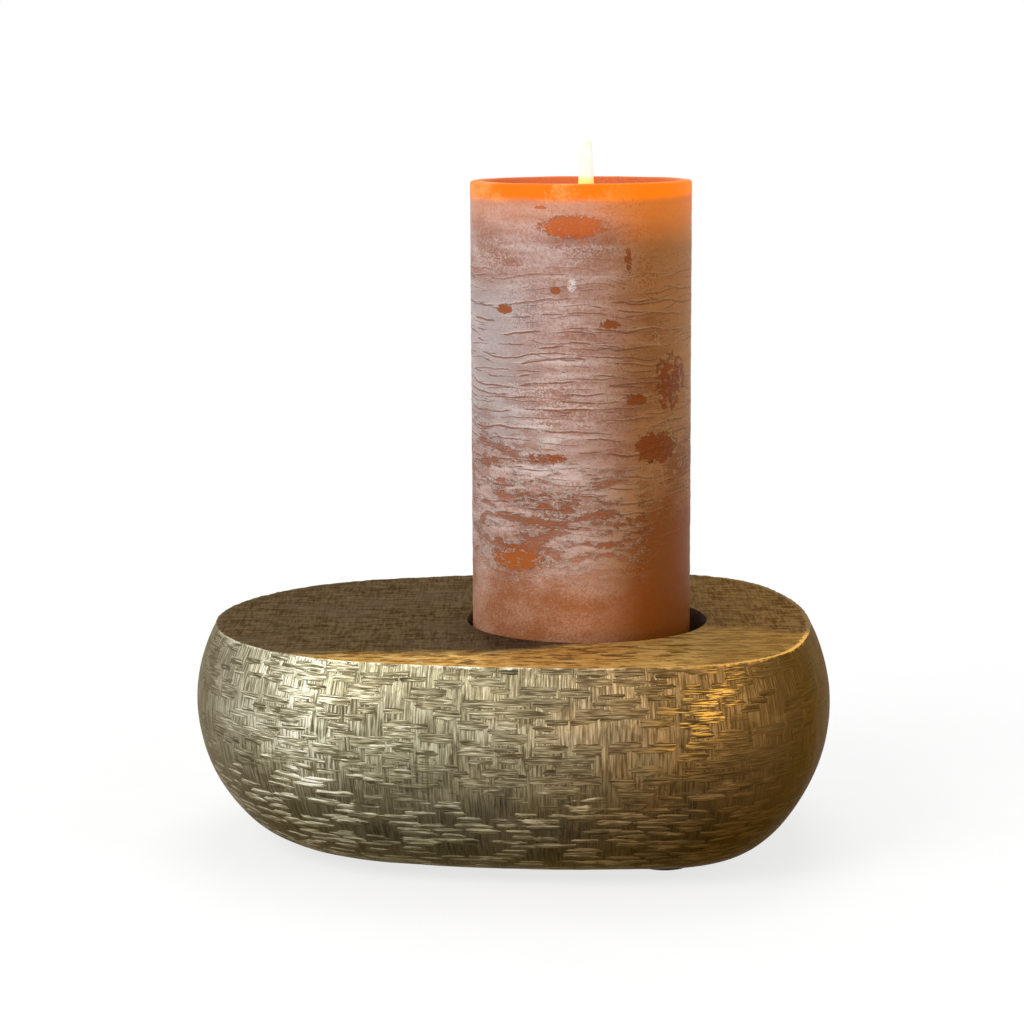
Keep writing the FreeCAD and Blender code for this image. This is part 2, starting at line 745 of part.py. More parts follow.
def battery_case():
    """The moulded unit in the candle's foot: two cell bays over a bayonet collar for the lid."""
    body = new_body("battery_case")
    drum = new_sketch(body, "case_outline", lift="case_recess")
    circle(drum, case_radius)
    feature(body, "Pad", "case_drum", drum, f"{case_top} - case_recess")
    inside = new_sketch(body, "case_inside_outline", lift=case_top)
    circle(inside, f"{case_radius} - case_wall")
    feature(body, "Pocket", "case_inside", inside, f"{case_top} - {floor_level}")
    collar = new_sketch(body, "collar_outline", lift="case_recess")
    circle(collar, collar_radius, y=cells_y)
    feature(body, "Pad", "collar", collar, f"{bay_bottom} + bay_wall - case_recess")
    bays = new_sketch(body, "bay_block_outline", lift=bay_bottom)
    block_radius = f"({bay_radius} + bay_wall)"
    stadium(bays, f"2 * ({cell_aside} + {block_radius})", f"2 * {block_radius}", y=cells_y)
    feature(body, "Pad", "bay_block", bays, f"{bay_top} - {bay_bottom}")
    posts = new_sketch(body, "screw_post_outlines", lift=floor_level)
    for sign in ("-", ""):
        circle(posts, "screw_post_radius", f"{sign}{post_x}", post_y)
    feature(body, "Pad", "screw_posts", posts, f"{case_top} - {floor_level}")
    rails = new_sketch(body, "rail_outlines", lift=floor_level)
    slot_end = "board_width / 2 + rail_fit"
    for sign in ("-", ""):
        edges = [f"{sign}({slot_end} - rail_depth)", f"{sign}({slot_end} + rail_wall)"]
        left, right = sorted(edges, key=number)
        front = f"{board_front} - rail_fit - rail_wall"
        rectangle(rails, left, right, front, f"{board_back} + rail_fit + rail_wall")
    feature(body, "Pad", "rails", rails, "rail_height")
    groove = new_sketch(body, "rail_slot_outline", lift=f"{floor_level} + rail_height")
    rectangle(groove, f"-({slot_end})", slot_end, f"{board_front} - rail_fit", f"{board_back} + rail_fit")
    feature(body, "Pocket", "rail_slot", groove, "rail_height")

    def bore_up(name, radius, lift, depth, places):
        sketch = new_sketch(body, f"{name}_outline", lift=lift)
        for x, y in places:
            circle(sketch, radius, x, y)
        feature(body, "Pocket", name, sketch, depth, reverse=True)

    over_lid = [("0", cells_y)]
    bore_up("lid_seat", f"{lid_radius} + lid_fit", "case_recess", "lid_height + lid_fit", over_lid)
    bore_up("collar_bore", collar_bore, ledge_bottom, f"{bay_bottom} - {ledge_bottom}", over_lid)
    bore_up("ear_groove", groove_radius, ledge_top, f"{bay_bottom} - {ledge_top}", over_lid)
    both_cells = [(f"{sign}{cell_aside}", cells_y) for sign in ("-", "")]
    bore_up("cell_bays", bay_radius, bay_bottom, f"{bay_top} - {bay_bottom}", both_cells)

    def turned_about_lid(name, lift, angle):
        sketch = new_sketch(body, name, lift=lift)
        upright = FreeCAD.Rotation(FreeCAD.Vector(0, 0, 1), number(angle))
        sketch.AttachmentOffset = FreeCAD.Placement(FreeCAD.Vector(), upright)
        sketch.setExpression(".AttachmentOffset.Base.y", bound(cells_y))
        sketch.setExpression(".AttachmentOffset.Rotation.Angle", bound(angle))
        return sketch

    notches = turned_about_lid("ear_notch_outline", ledge_bottom, "lid_twist_angle")
    half_notch = "(lid_ear_width / 2 + lid_fit)"
    rectangle(notches, f"-{groove_radius}", groove_radius, f"-{half_notch}", half_notch)
    feature(body, "Pocket", "ear_notches", notches, "lid_ledge_height", reverse=True)
    ear_half_angle = f"asin(lid_ear_width / 2 / {collar_bore})"
    stop_half_angle = f"asin(lid_stop_width / 2 / {collar_bore})"
    stop_angle = f"-({ear_half_angle} + {stop_half_angle} + lid_stop_gap_angle * 1 deg)"
    stops = turned_about_lid("ear_stop_outlines", ledge_top, stop_angle)
    stop_ends = [collar_bore, f"({groove_radius} + collar_wall / 2)"]
    for sign in ("-", ""):
        left, right = sorted([f"{sign}{end}" for end in stop_ends], key=number)
        rectangle(stops, left, right, "-lid_stop_width / 2", "lid_stop_width / 2")
    feature(body, "Pad", "ear_stops", stops, f"{bay_bottom} - {ledge_top}")
    slot = new_sketch(body, "knob_slot_outline", lift="case_recess")
    half_slot = "(knob_width / 2 + switch_travel + knob_fit)"
    half_gap = "(knob_neck_depth / 2 + knob_fit)"
    rectangle(slot, f"-{half_slot}", half_slot, f"{switch_y} - {half_gap}", f"{switch_y} + {half_gap}")
    feature(body, "Pocket", "knob_slot", slot, "case_floor", reverse=True)
    pilots = new_sketch(body, "pilot_hole_outlines", lift=case_top)
    for sign in ("-", ""):
        circle(pilots, "screw_radius + screw_fit", f"{sign}{post_x}", post_y)
    feature(body, "Pocket", "pilot_holes", pilots, "screw_length")
    soften(body, "Fillet", "case_edge", "case_edge_round", ring_at(case_radius, "case_recess"))
    return put(body, **candle_at)


def case_cover():
    """The flat cover over the battery unit, with a slot for the lamp's leads."""
    body = new_body("case_cover")
    disc = new_sketch(body, "cover_outline", lift=case_top)
    circle(disc, case_radius)
    feature(body, "Pad", "cover_disc", disc, "cover_height")
    slot = new_sketch(body, "cover_slot_outline", lift=cover_top)
    stadium(slot, "cover_slot_length", "cover_slot_width", y=f"{board_front} + board_thickness / 2")
    feature(body, "Pocket", "cover_slot", slot, "cover_height + cut_over")
    for name, radius, depth in (
        ("screw_holes", "screw_radius + screw_fit", "cover_height + cut_over"),
        ("screw_seats", "screw_head_radius + screw_fit", "screw_head_height"),
    ):
        holes = new_sketch(body, f"{name}_outline", lift=cover_top)
        for sign in ("-", ""):
            circle(holes, radius, f"{sign}{post_x}", post_y)
        feature(body, "Pocket", name, holes, depth)
    return put(body, **candle_at)


def case_screws():
    """Two small self-tapping screws, which hold the cover down on its posts."""
    body = new_body("case_screws")
    body.AllowCompound = True
    turned = new_sketch(body, "screw_section", "XZ_Plane")
    neck = f"{cover_top} - screw_head_height"
    tip = f"{neck} - screw_length"
    turned.setExpression(".AttachmentOffset.Base.z", bound(f"-{post_y}"))
    turned.setExpression(".AttachmentOffset.Base.x", bound(post_x))
    polygon(turned, [
        ("0", tip),
        ("screw_radius", f"{tip} + screw_point"),
        ("screw_radius", neck),
        ("screw_head_radius", neck),
        ("screw_head_radius", cover_top),
        ("0", cover_top),
    ])
    feature(body, "Revolution", "screw_turned", turned)
    slot = new_sketch(body, "screw_slot_outline", lift=cover_top)
    rectangle(
        slot,
        f"{post_x} - screw_head_radius", f"{post_x} + screw_head_radius",
        f"{post_y} - screw_slot_width / 2", f"{post_y} + screw_slot_width / 2",
    )
    feature(body, "Pocket", "screw_slot", slot, "screw_slot_depth")
    doc.recompute()
    pair = body.newObject("PartDesign::Mirrored", "screw_pair")
    plane = next(item for item in body.Origin.OriginFeatures if item.Role == "YZ_Plane")
    pair.MirrorPlane = (plane, [""])
    pair.TransformMode = "Whole shape"
    body.Tip = pair
    return put(body, **candle_at)


def battery_cell(name, sign, nub_up):
    """One battery cell, nub up or nub down, in its bay."""
    body = new_body(name)
    turned = new_sketch(body, f"{name}_section", "XZ_Plane")
    can = "cell_length - cell_nub_height"
    if nub_up:
        corners = [
            ("0", "0"), ("cell_radius", "0"), ("cell_radius", can),
            ("cell_nub_radius", can), ("cell_nub_radius", "cell_length"), ("0", "cell_length"),
        ]
    else:
        corners = [
            ("0", "0"), ("cell_nub_radius", "0"), ("cell_nub_radius", "cell_nub_height"),
            ("cell_radius", "cell_nub_height"), ("cell_radius", "cell_length"), ("0", "cell_length"),
        ]
    polygon(turned, corners)
    feature(body, "Revolution", f"{name}_turned", turned)
    ends = ("0", can) if nub_up else ("cell_nub_height", "cell_length")
    rings = [ring_at("cell_radius", level) for level in ends]
    soften(body, "Fillet", f"{name}_edges", "cell_edge_round", lambda edge: any(test(edge) for test in rings))
    return put(
        body,
        f"{candle_at['x']} {sign} {cell_aside}",
        f"{candle_at['y']} + {cells_y}",
        f"{candle_at['z']} + {bay_bottom}",
    )


def cell_contact(name, sign, nosed):
    """A stamped plate over one bay, with a tail to the board and, over a nub, a drawn nose."""
    body = new_body(name)
    middle = f"{sign}{cell_aside}"
    half_plate = f"({cell_aside} - contact_gap / 2)"
    back = f"{cells_y} + {bay_radius} + contact_lap"
    plate = new_sketch(body, f"{name}_plate_outline", lift=bay_top)
    rectangle(
        plate,
        f"{middle} - {half_plate}", f"{middle} + {half_plate}",
        f"{cells_y} - {bay_radius} - contact_lap", back,
    )
    feature(body, "Pad", f"{name}_plate", plate, "contact_thickness")
    tail = new_sketch(body, f"{name}_tail_outline", lift=bay_top)
    half_tail = "contact_tail_width / 2"
    tail_root = f"{back} - contact_lap"
    rectangle(tail, f"{middle} - {half_tail}", f"{middle} + {half_tail}", tail_root, board_front)
    feature(body, "Pad", f"{name}_tail", tail, "contact_thickness")
    if nosed:
        nose = new_sketch(body, f"{name}_nose_outline", lift=bay_top)
        circle(nose, "contact_nose_radius", middle, cells_y)
        feature(body, "Pad", f"{name}_nose", nose, "spring_height", reverse=True)
    return put(body, **candle_at)


def plain_solid(name, shape, place):
    """A piece whose shape comes straight from curves and sweeps, at its place in the whole."""
    piece = doc.addObject("Part::Feature", name)
    piece.Label = name
    piece.Shape = shape
    piece.Placement.Base = FreeCAD.Vector(*(number(place[axis]) for axis in "xyz"))
    return piece


def swept_round(edges, radius):
    """A round bar along a chain of edges, square to its first edge."""
    chain = Part.Wire(edges)
    start = edges[0]
    along = start.tangentAt(start.FirstParameter)
    section = Part.Wire(Part.makeCircle(radius, start.valueAt(start.FirstParameter), along))
    sweep = Part.BRepOffsetAPI.MakePipeShell(chain)
    sweep.add(section)
    sweep.build()
    sweep.makeSolid()
    return sweep.shape()


def contact_spring():
    """The tapered coil spring between the turned-over cell and its contact plate."""
    wire = number("spring_wire_radius")
    low = number(f"{cell_top} + spring_gap") + wire
    high = number(f"{bay_top} - spring_gap") - wire
    tip, top = number("spring_tip_radius"), number("spring_top_radius")
    steps = SPRING_TURNS_COUNT * QUARTERS_PER_TURN * 2

    def spot(step):
        share = step / steps
        angle = 2 * math.pi * SPRING_TURNS_COUNT * share
        run = tip + (top - tip) * share
        return FreeCAD.Vector(run * math.cos(angle), run * math.sin(angle), low + (high - low) * share)

    edges = [Part.Arc(spot(step), spot(step + 1), spot(step + 2)).toShape() for step in range(0, steps, 2)]
    place = dict(candle_at, x=f"{candle_at['x']} + {cell_aside}", y=f"{candle_at['y']} + {cells_y}")
    return plain_solid("contact_spring", swept_round(edges, wire), place)


def lamp_wire(name, sign):
    """One lead from the board's top edge through the cover's slot and up the wax to a lamp leg."""
    leg_x = f"flame_to_right {sign} leg_spacing / 2"
    board_x = f"{sign}wire_board_spacing / 2"
    board_y = f"({board_front} + board_thickness / 2)"
    low = f"({board_top} + wire_bend_up)"
    route = [
        (board_x, board_y, board_top),
        (board_x, board_y, low),
        (leg_x, "0", f"{low} + wire_bend_rise"),
        (leg_x, "0", f"{dish_level} + {leg_end_level}"),
    ]
    spots = [FreeCAD.Vector(*(number(part) for part in spot)) for spot in route]
    edges = []
    start = spots[0]
    for before, corner, after in zip(spots, spots[1:], spots[2:]):
        back, ahead = before - corner, after - corner
        trim = number("wire_bend_share") * min(back.Length, ahead.Length)
        half_turn = (math.pi - back.getAngle(ahead)) / 2
        radius = trim / math.tan(half_turn)
        back.normalize()
        ahead.normalize()
        inward = (back + ahead).normalize()
        middle = corner + inward * (radius / math.cos(half_turn))
        bend_start, bend_end = corner + back * trim, corner + ahead * trim
        edges.append(Part.LineSegment(start, bend_start).toShape())
        edges.append(Part.Arc(bend_start, middle - inward * radius, bend_end).toShape())
        start = bend_end
    edges.append(Part.LineSegment(start, spots[-1]).toShape())
    return plain_solid(name, swept_round(edges, number("wire_radius")), candle_at)


def circuit_board():
    """The narrow board, standing on the case's floor between its rails."""
    body = new_body("circuit_board")
    plate = new_sketch(body, "board_outline", lift=floor_level)
    rectangle(plate, "-board_width / 2", "board_width / 2", board_front, board_back)
    feature(body, "Pad", "board_plate", plate, f"{board_top} - {floor_level}")
    return put(body, **candle_at)


def on_board(body, name):
    """A sketch on the board's front face, whose pads grow towards the cells."""
    return new_sketch(body, name, "XZ_Plane", lift=f"-{board_front}")


def timer_chip():
    """The small legged chip that makes the flicker and counts the hours."""
    body = new_body("timer_chip")
    slab = on_board(body, "chip_outline")
    low, high = "chip_up - chip_length / 2", "chip_up + chip_length / 2"
    rectangle(slab, "-chip_width / 2", "chip_width / 2", low, high)
    feature(body, "Pad", "chip_slab", slab, "chip_height")
    legs = on_board(body, "chip_leg_outlines")
    for index in range(CHIP_LEGS_PER_SIDE_COUNT):
        rise = f"chip_leg_pitch * {index - (CHIP_LEGS_PER_SIDE_COUNT - 1) / 2}"
        reach = "(chip_width / 2 + chip_leg_reach)"
        rectangle(
            legs, f"-{reach}", reach,
            f"chip_up + {rise} - chip_leg_width / 2", f"chip_up + {rise} + chip_leg_width / 2",
        )
    feature(body, "Pad", "chip_legs", legs, "chip_leg_thickness")
    return put(body, **candle_at)


def capacitor():
    """The round smoothing capacitor, standing on the board."""
    body = new_body("capacitor")
    can = on_board(body, "capacitor_outline")
    circle(can, "capacitor_radius", "-capacitor_aside", "capacitor_up")
    feature(body, "Pad", "capacitor_can", can, "capacitor_length")
    end = number(f"{board_front} - capacitor_length")

    def end_edge(edge):
        return near(edge.BoundBox.YMax, end)

    soften(body, "Fillet", "capacitor_edge", "capacitor_edge_round", end_edge)
    return put(body, **candle_at)


def lamp_resistor():
    """The lamp's resistor, lying along the board on its bent leads."""
    body = new_body("lamp_resistor")
    across = f"{board_front} - resistor_radius"
    reach = "resistor_length / 2 + resistor_lead_reach"
    for name, radius, half in (
        ("resistor_barrel", "resistor_radius", "resistor_length / 2"),
        ("resistor_leads", "resistor_lead_radius", reach),
    ):
        bar = new_sketch(body, f"{name}_outline", "YZ_Plane", lift=f"resistor_aside - ({half})")
        circle(bar, radius, across, "resistor_up")
        feature(body, "Pad", name, bar, f"2 * ({half})")
    feet = on_board(body, "resistor_feet_outline")
    foot_run = f"({reach} - resistor_lead_radius)"
    for sign in ("-", "+"):
        circle(feet, "resistor_foot_radius", f"resistor_aside {sign} {foot_run}", "resistor_up")
    feature(body, "Pad", "resistor_feet", feet, "resistor_radius")
    return put(body, **candle_at)


def slide_switch():
    """The switch's housing on the back of the board, open below for its knob."""
    body = new_body("slide_switch")
    block = new_sketch(body, "switch_outline", lift=switch_bottom)
    rectangle(block, "-switch_length / 2", "switch_length / 2", board_back, f"{board_back} + switch_depth")
    feature(body, "Pad", "switch_block", block, "switch_height")
    track = new_sketch(body, "switch_track_outline", lift=switch_bottom)
    half_run = "(knob_width / 2 + switch_travel + knob_fit)"
    half_gap = "(knob_depth / 2 + knob_fit)"
    rectangle(track, f"-{half_run}", half_run, f"{switch_y} - {half_gap}", f"{switch_y} + {half_gap}")
    feature(body, "Pocket", "switch_track", track, "knob_head_height + 2 * knob_fit", reverse=True)
    return put(body, **candle_at)


def switch_knob():
    """The knob that slides between off, on and timed, reached through the case's floor."""
    body = new_body("switch_knob")
    neck = new_sketch(body, "knob_neck_outline", lift="case_recess + knob_recess")
    half_width = "knob_width / 2"
    half_neck = "knob_neck_depth / 2"
    rectangle(neck, f"-{half_width}", half_width, f"{switch_y} - {half_neck}", f"{switch_y} + {half_neck}")
    feature(body, "Pad", "knob_neck", neck, f"{switch_bottom} + knob_fit - case_recess - knob_recess")
    head = new_sketch(body, "knob_head_outline", lift=f"{switch_bottom} + knob_fit")
    half_head = "knob_depth / 2"
    rectangle(head, f"-{half_width}", half_width, f"{switch_y} - {half_head}", f"{switch_y} + {half_head}")
    feature(body, "Pad", "knob_head", head, "knob_head_height")
    tip = number("case_recess + knob_recess")
    soften(body, "Chamfer", "knob_edge", "knob_edge_bevel", lambda edge: near(edge.BoundBox.ZMax, tip))
    return put(body, **candle_at)


def battery_lid():
    """The round lid over the cells: two ears turn under the collar's ledge, a coin turns it."""
    body = new_body("battery_lid")
    for name, radius, lift, height in (
        ("lid_disc", lid_radius, "case_recess", "lid_height"),
        ("lid_boss", boss_radius, lid_top, f"{boss_top} - {lid_top}"),
    ):
        ring = new_sketch(body, f"{name}_outline", lift=lift)
        circle(ring, radius)
        feature(body, "Pad", name, ring, height)
    ears = new_sketch(body, "lid_ear_outline", lift=ear_bottom)
    half_ears = f"sqrt({ear_radius} ^ 2 - (lid_ear_width / 2) ^ 2)"
    rectangle(ears, f"-{half_ears}", half_ears, "-lid_ear_width / 2", "lid_ear_width / 2")
    feature(body, "Pad", "lid_ears", ears, "lid_ear_height")
    slot = new_sketch(body, "coin_slot_outline", lift="case_recess")
    stadium(slot, "coin_slot_length", "coin_slot_width")
    feature(body, "Pocket", "coin_slot", slot, "coin_slot_depth", reverse=True)
    soften(body, "Fillet", "lid_edge", "lid_edge_round", ring_at(lid_radius, "case_recess"))
    return put(body, candle_at["x"], f"{candle_at['y']} + {cells_y}", candle_at["z"])


def bridge_contact():
    """The plate on the lid's boss that joins the two cells."""
    body = new_body("bridge_contact")
    plate = new_sketch(body, "bridge_outline", lift=boss_top)
    stadium(plate, f"2 * {cell_aside} + bridge_width", "bridge_width")
    feature(body, "Pad", "bridge_plate", plate, "contact_thickness")
    return put(body, candle_at["x"], f"{candle_at['y']} + {cells_y}", candle_at["z"])


pieces = [
    holder_casting(),
    *foot_pads(),
    wax_body(),
    flame_tip(),
    flame_socket(),
    lamp(),
    lamp_legs(),
    lamp_wire("red_wire", "-"),
    lamp_wire("black_wire", "+"),
    battery_case(),
    case_cover(),
    case_screws(),
    battery_cell("battery_cell_left", "-", nub_up=True),
    battery_cell("battery_cell_right", "+", nub_up=False),
    cell_contact("positive_contact", "-", nosed=True),
    cell_contact("negative_contact", "", nosed=False),
    contact_spring(),
    circuit_board(),
    timer_chip(),
    capacitor(),
    lamp_resistor(),
    slide_switch(),
    switch_knob(),
    battery_lid(),
    bridge_contact(),
]
doc.recompute()

for item in doc.Objects:
    if "Invalid" in item.State or "Error" in item.State:
        raise RuntimeError(f"{item.Label} failed: {item.State}")
for piece in pieces:
    if piece.Shape.isNull() or not piece.Shape.isValid() or not piece.Shape.Solids:
        raise RuntimeError(f"{piece.Label} is not a sound solid")

os.makedirs("parts", exist_ok=True)
for piece in pieces:
    piece.Shape.exportStep(f"parts/{piece.Label}.step")
    box = piece.Shape.BoundBox
    print(
        f"{piece.Label}: {len(piece.Shape.Solids)} solid, {piece.Shape.Volume:.0f} mm3,"
        f" x {box.XMin:.1f} to {box.XMax:.1f}, y {box.YMin:.1f} to {box.YMax:.1f},"
        f" z {box.ZMin:.1f} to {box.ZMax:.1f}"
    )
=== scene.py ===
# A low pebble-shaped cast metal candle holder with a light-up pillar candle in its round well.
# Lengths in the making are millimetres, and each piece is brought to metres as it is finished.
# +X runs towards the blunt end, where the candle stands, and -Y faces the viewer.
import math

import bmesh
import bpy
from mathutils import Matrix, Vector, noise


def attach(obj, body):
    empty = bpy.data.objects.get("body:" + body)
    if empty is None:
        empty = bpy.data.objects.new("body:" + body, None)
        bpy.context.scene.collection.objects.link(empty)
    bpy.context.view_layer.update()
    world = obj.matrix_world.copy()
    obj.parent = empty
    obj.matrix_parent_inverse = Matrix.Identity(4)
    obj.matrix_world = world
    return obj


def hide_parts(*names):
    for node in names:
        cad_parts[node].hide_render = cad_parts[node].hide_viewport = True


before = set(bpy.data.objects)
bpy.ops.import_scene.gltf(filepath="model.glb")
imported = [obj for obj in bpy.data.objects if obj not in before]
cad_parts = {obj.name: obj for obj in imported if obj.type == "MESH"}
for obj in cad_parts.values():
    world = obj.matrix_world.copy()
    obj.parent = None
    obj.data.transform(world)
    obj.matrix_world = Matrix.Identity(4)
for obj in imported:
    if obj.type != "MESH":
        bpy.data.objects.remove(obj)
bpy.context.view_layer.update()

# Camera
# A long lens a little above the candle's foot, looking slightly down on the holder's top. It was
# fitted to the candle's rim and foot, the well's rim and the top's edge in the photo.
MM = 0.001
LENS = 93.81
CAMERA_PLACE = (0.04, -847.0, 242.3)
TILT_DOWN = 9.17
ROLL = -0.28
camera_data = bpy.data.cameras.new("photo_camera")
camera_data.lens = LENS
camera_data.sensor_width = 36
camera = bpy.data.objects.new("photo_camera", camera_data)
look_down = Matrix.Rotation(math.radians(90 - TILT_DOWN), 4, "X")
camera.matrix_world = (
    Matrix.Translation(Vector(CAMERA_PLACE) * MM)
    @ look_down
    @ Matrix.Rotation(math.radians(ROLL), 4, "Z")
)
bpy.context.collection.objects.link(camera)
bpy.context.scene.camera = camera
bpy.context.scene.view_settings.view_transform = "Standard"


# Floor and light
# A plain white floor under a white studio sky. Far from the object it is even white, and near it
# keeps the soft shadow. Three large soft lamps light the object, the largest at the left.
class Value:
    """One socket of a finish. Sums written with it become Math nodes."""

    def __init__(self, tree, socket=None):
        self.tree = tree
        self.socket = socket

    def node(self, kind, settings=None, sockets=None, output=0):
        """Adds a node: its settings first, then the numbers or links of its sockets."""
        made = self.tree.nodes.new("ShaderNode" + kind)
        for name, setting in (settings or {}).items():
            if name == "stops":
                for index, (place, colour) in enumerate(setting):
                    stops = made.color_ramp.elements
                    stop = stops[index] if index < 2 else stops.new(place)
                    stop.position = place
                    stop.color = (*colour, 1)
            else:
                setattr(made, name, setting)
        for name, value in (sockets or {}).items():
            if isinstance(value, Value):
                self.tree.links.new(value.socket, made.inputs[name])
            else:
                made.inputs[name].default_value = value
        return Value(self.tree, made.outputs[output] if made.outputs else None)

    def math(self, operation, *others):
        return self.node("Math", {"operation": operation}, dict(enumerate((self, *others))))

    def __add__(self, other):
        return self.math("ADD", other)

    def __sub__(self, other):
        return self.math("SUBTRACT", other)

    def __mul__(self, other):
        return self.math("MULTIPLY", other)

    def __rsub__(self, other):
        return self.node("Math", {"operation": "SUBTRACT"}, {0: other, 1: self})

    def __truediv__(self, other):
        return self.math("DIVIDE", other)

    __radd__ = __add__
    __rmul__ = __mul__


def finish(name):
    """A new finish with no nodes yet, and the value that its first nodes are added to."""
    material = bpy.data.materials.new(name)
    material.use_nodes = True
    tree = material.node_tree
    tree.nodes.clear()
    return material, Value(tree)


def surface(paint, shader):
    """Joins a finish's last shader to its output."""
    paint.node("OutputMaterial", None, {"Surface": shader})


def srgb(red, green, blue):
    """The light that a colour sends back, from its three numbers as a screen has them, 0 to 255."""
    parts = []
    for part in (red, green, blue):
        share = part / 255
        parts.append(share / 12.92 if share <= 0.04045 else ((share + 0.055) / 1.055) ** 2.4)
    return tuple(parts)


def rise(value, low, high):
    """0 below low, 1 above high, with a smooth rise between."""
    return value.node("MapRange", {"interpolation_type": "SMOOTHSTEP"}, {0: value, 1: low, 2: high})


def mix(share, first, second):
    """A colour between two others."""
    sockets = {0: share}
    for name, colour in ((6, first), (7, second)):
        sockets[name] = colour if isinstance(colour, Value) else (*colour, 1)
    return share.node("Mix", {"data_type": "RGBA"}, sockets, output=2)


def mottle(where, across, up, detail=2.0, rough=0.5, seed=0.0):
    """Even noise from 0 to 1, with its own fineness across and up the surface."""
    place = {"Vector": where, "Location": (seed, seed, seed), "Scale": (across, across, up)}
    spot = where.node("Mapping", None, place)
    sockets = {"Vector": spot, "Scale": 1.0, "Detail": detail, "Roughness": rough}
    return where.node("TexNoise", {"noise_dimensions": "3D"}, sockets)


FLOOR_HALF = 4.0
FLOOR_NEAR = 0.14
FLOOR_FAR = 0.42
FLOOR_LIFT = 0.74
SKY_LIGHT = 0.5
LIT_SPOT = (0.02, 0.0, 0.09)

sky = bpy.data.worlds.new("studio_sky")
bpy.context.scene.world = sky
sky.use_nodes = True
sky.node_tree.nodes.clear()
air = Value(sky.node_tree)


def seen_rays(paint):
    """1 for rays that show the background: straight, mirrored and passed on ones."""
    names = ("Is Camera Ray", "Is Glossy Ray", "Is Transmission Ray")
    rays = [paint.node("LightPath", None, None, name) for name in names]
    return rays[0].math("MAXIMUM", rays[1]).math("MAXIMUM", rays[2])


strength = SKY_LIGHT + seen_rays(air) * (1 - SKY_LIGHT)
glow = air.node("Background", None, {"Color": (1, 1, 1, 1), "Strength": strength})
air.node("OutputWorld", None, {"Surface": glow})

bm = bmesh.new()
bmesh.ops.create_grid(bm, x_segments=2, y_segments=2, size=FLOOR_HALF)
floor_mesh = bpy.data.meshes.new("floor")
bm.to_mesh(floor_mesh)
bm.free()
floor = bpy.data.objects.new("floor", floor_mesh)
bpy.context.collection.objects.link(floor)
floor_finish, paint = finish("white_floor")
spot = paint.node("TexCoord", None, None, "Object")
reach = spot.node("VectorMath", {"operation": "LENGTH"}, {0: spot}, output=1)
grain = mottle(spot, 40, 40, detail=3)
near_colour = mix(grain, srgb(134, 134, 134), srgb(140, 140, 140))
near = paint.node("BsdfDiffuse", None, {"Color": near_colour})
lift = seen_rays(paint) * FLOOR_LIFT
lift = paint.node("Emission", None, {"Color": (1, 1, 1, 1), "Strength": lift})
near = paint.node("AddShader", None, {0: near, 1: lift})
far = paint.node("Emission", None, {"Color": (1, 1, 1, 1), "Strength": 1.0})
white = rise(reach, FLOOR_NEAR, FLOOR_FAR)
surface(paint, paint.node("MixShader", None, {0: white, 1: near, 2: far}))
floor_mesh.materials.append(floor_finish)

for name, place, width, power, colour in (
    ("left_softbox", (-1.25, -1.25, 1.35), 1.1, 26.0, (1.0, 0.99, 0.97)),
    ("right_softbox", (1.35, -0.95, 0.75), 0.6, 6.0, (1.0, 0.95, 0.88)),
    ("top_softbox", (0.1, 0.55, 1.7), 0.9, 9.0, (1.0, 1.0, 1.0)),
):
    lamp_data = bpy.data.lights.new(name, "AREA")
    lamp_data.shape = "SQUARE"
    lamp_data.size = width
    lamp_data.energy = power
    lamp_data.color = colour
    lamp = bpy.data.objects.new(name, lamp_data)
    lamp.location = place
    aim = Vector(LIT_SPOT) - lamp.location
    lamp.rotation_euler = aim.to_track_quat("-Z", "Y").to_euler()
    bpy.context.collection.objects.link(lamp)


def piece_from(bm, name, body, finishes):
    """Brings a finished mesh to metres and hands it over as a piece of the object."""
    bmesh.ops.scale(bm, vec=(MM, MM, MM), verts=bm.verts)
    mesh = bpy.data.meshes.new(name)
    bm.to_mesh(mesh)
    bm.free()
    for material in finishes:
        mesh.materials.append(material)
    piece = bpy.data.objects.new(name, mesh)
    bpy.context.collection.objects.link(piece)
    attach(piece, body)
    return piece


# Holder casting
# One hollow sand casting in metal with an antique champagne gold finish. Its flank is cut all over
# with short chisel strokes, upright ones crossed by lens-shaped level ones, and its flat top is
# brushed, dull and brown, with a band of painted warm light in gold along the front. The colours of
# both also hold painted highlights and painted shade.
TOP = 71.2
FOOT = 2.2
NOSE_TIP = -95.5
BELLY = (43.721, 46.2, 50.364)
TURN = (28.357, 30.836, 28.636)
WALL = 4.0
TOP_MARGIN = 6.0
FOOT_MARGIN = 4.0
WELD = 0.002
ARCS = (
    (Vector((-25.5, 0)), 70.0),
    (Vector((26.485, 182.75)), 260.0),
    (Vector((47.033, -33.275)), 43.0),
    (Vector((-51.5, 0)), 147.0),
)


def towards(start, end):
    """The way from one spot to another, in degrees from +X."""
    way = end - start
    return math.degrees(math.atan2(way.y, way.x)) % 360


def outline_turns():
    """The pebble outline as turns from the left tip along the front: middle, degrees and length."""
    nose, side, corner, end = (middle for middle, _ in ARCS)
    breaks = [180, towards(side, nose), towards(side, corner), towards(end, corner), 360]
    turns = []
    for index, (middle, radius) in enumerate(ARCS):
        degrees = breaks[index + 1] - breaks[index]
        turns.append((middle, degrees, math.radians(degrees) * radius))
    for middle, degrees, length in reversed(turns[:]):
        turns.append((Vector((middle.x, -middle.y)), degrees, length))
    return turns


PERIMETER = sum(length for _, _, length in outline_turns())


def spots_of(geometry):
    """The spots among the pieces that a sweep gives back."""
    return [item for item in geometry if isinstance(item, bmesh.types.BMVert)]


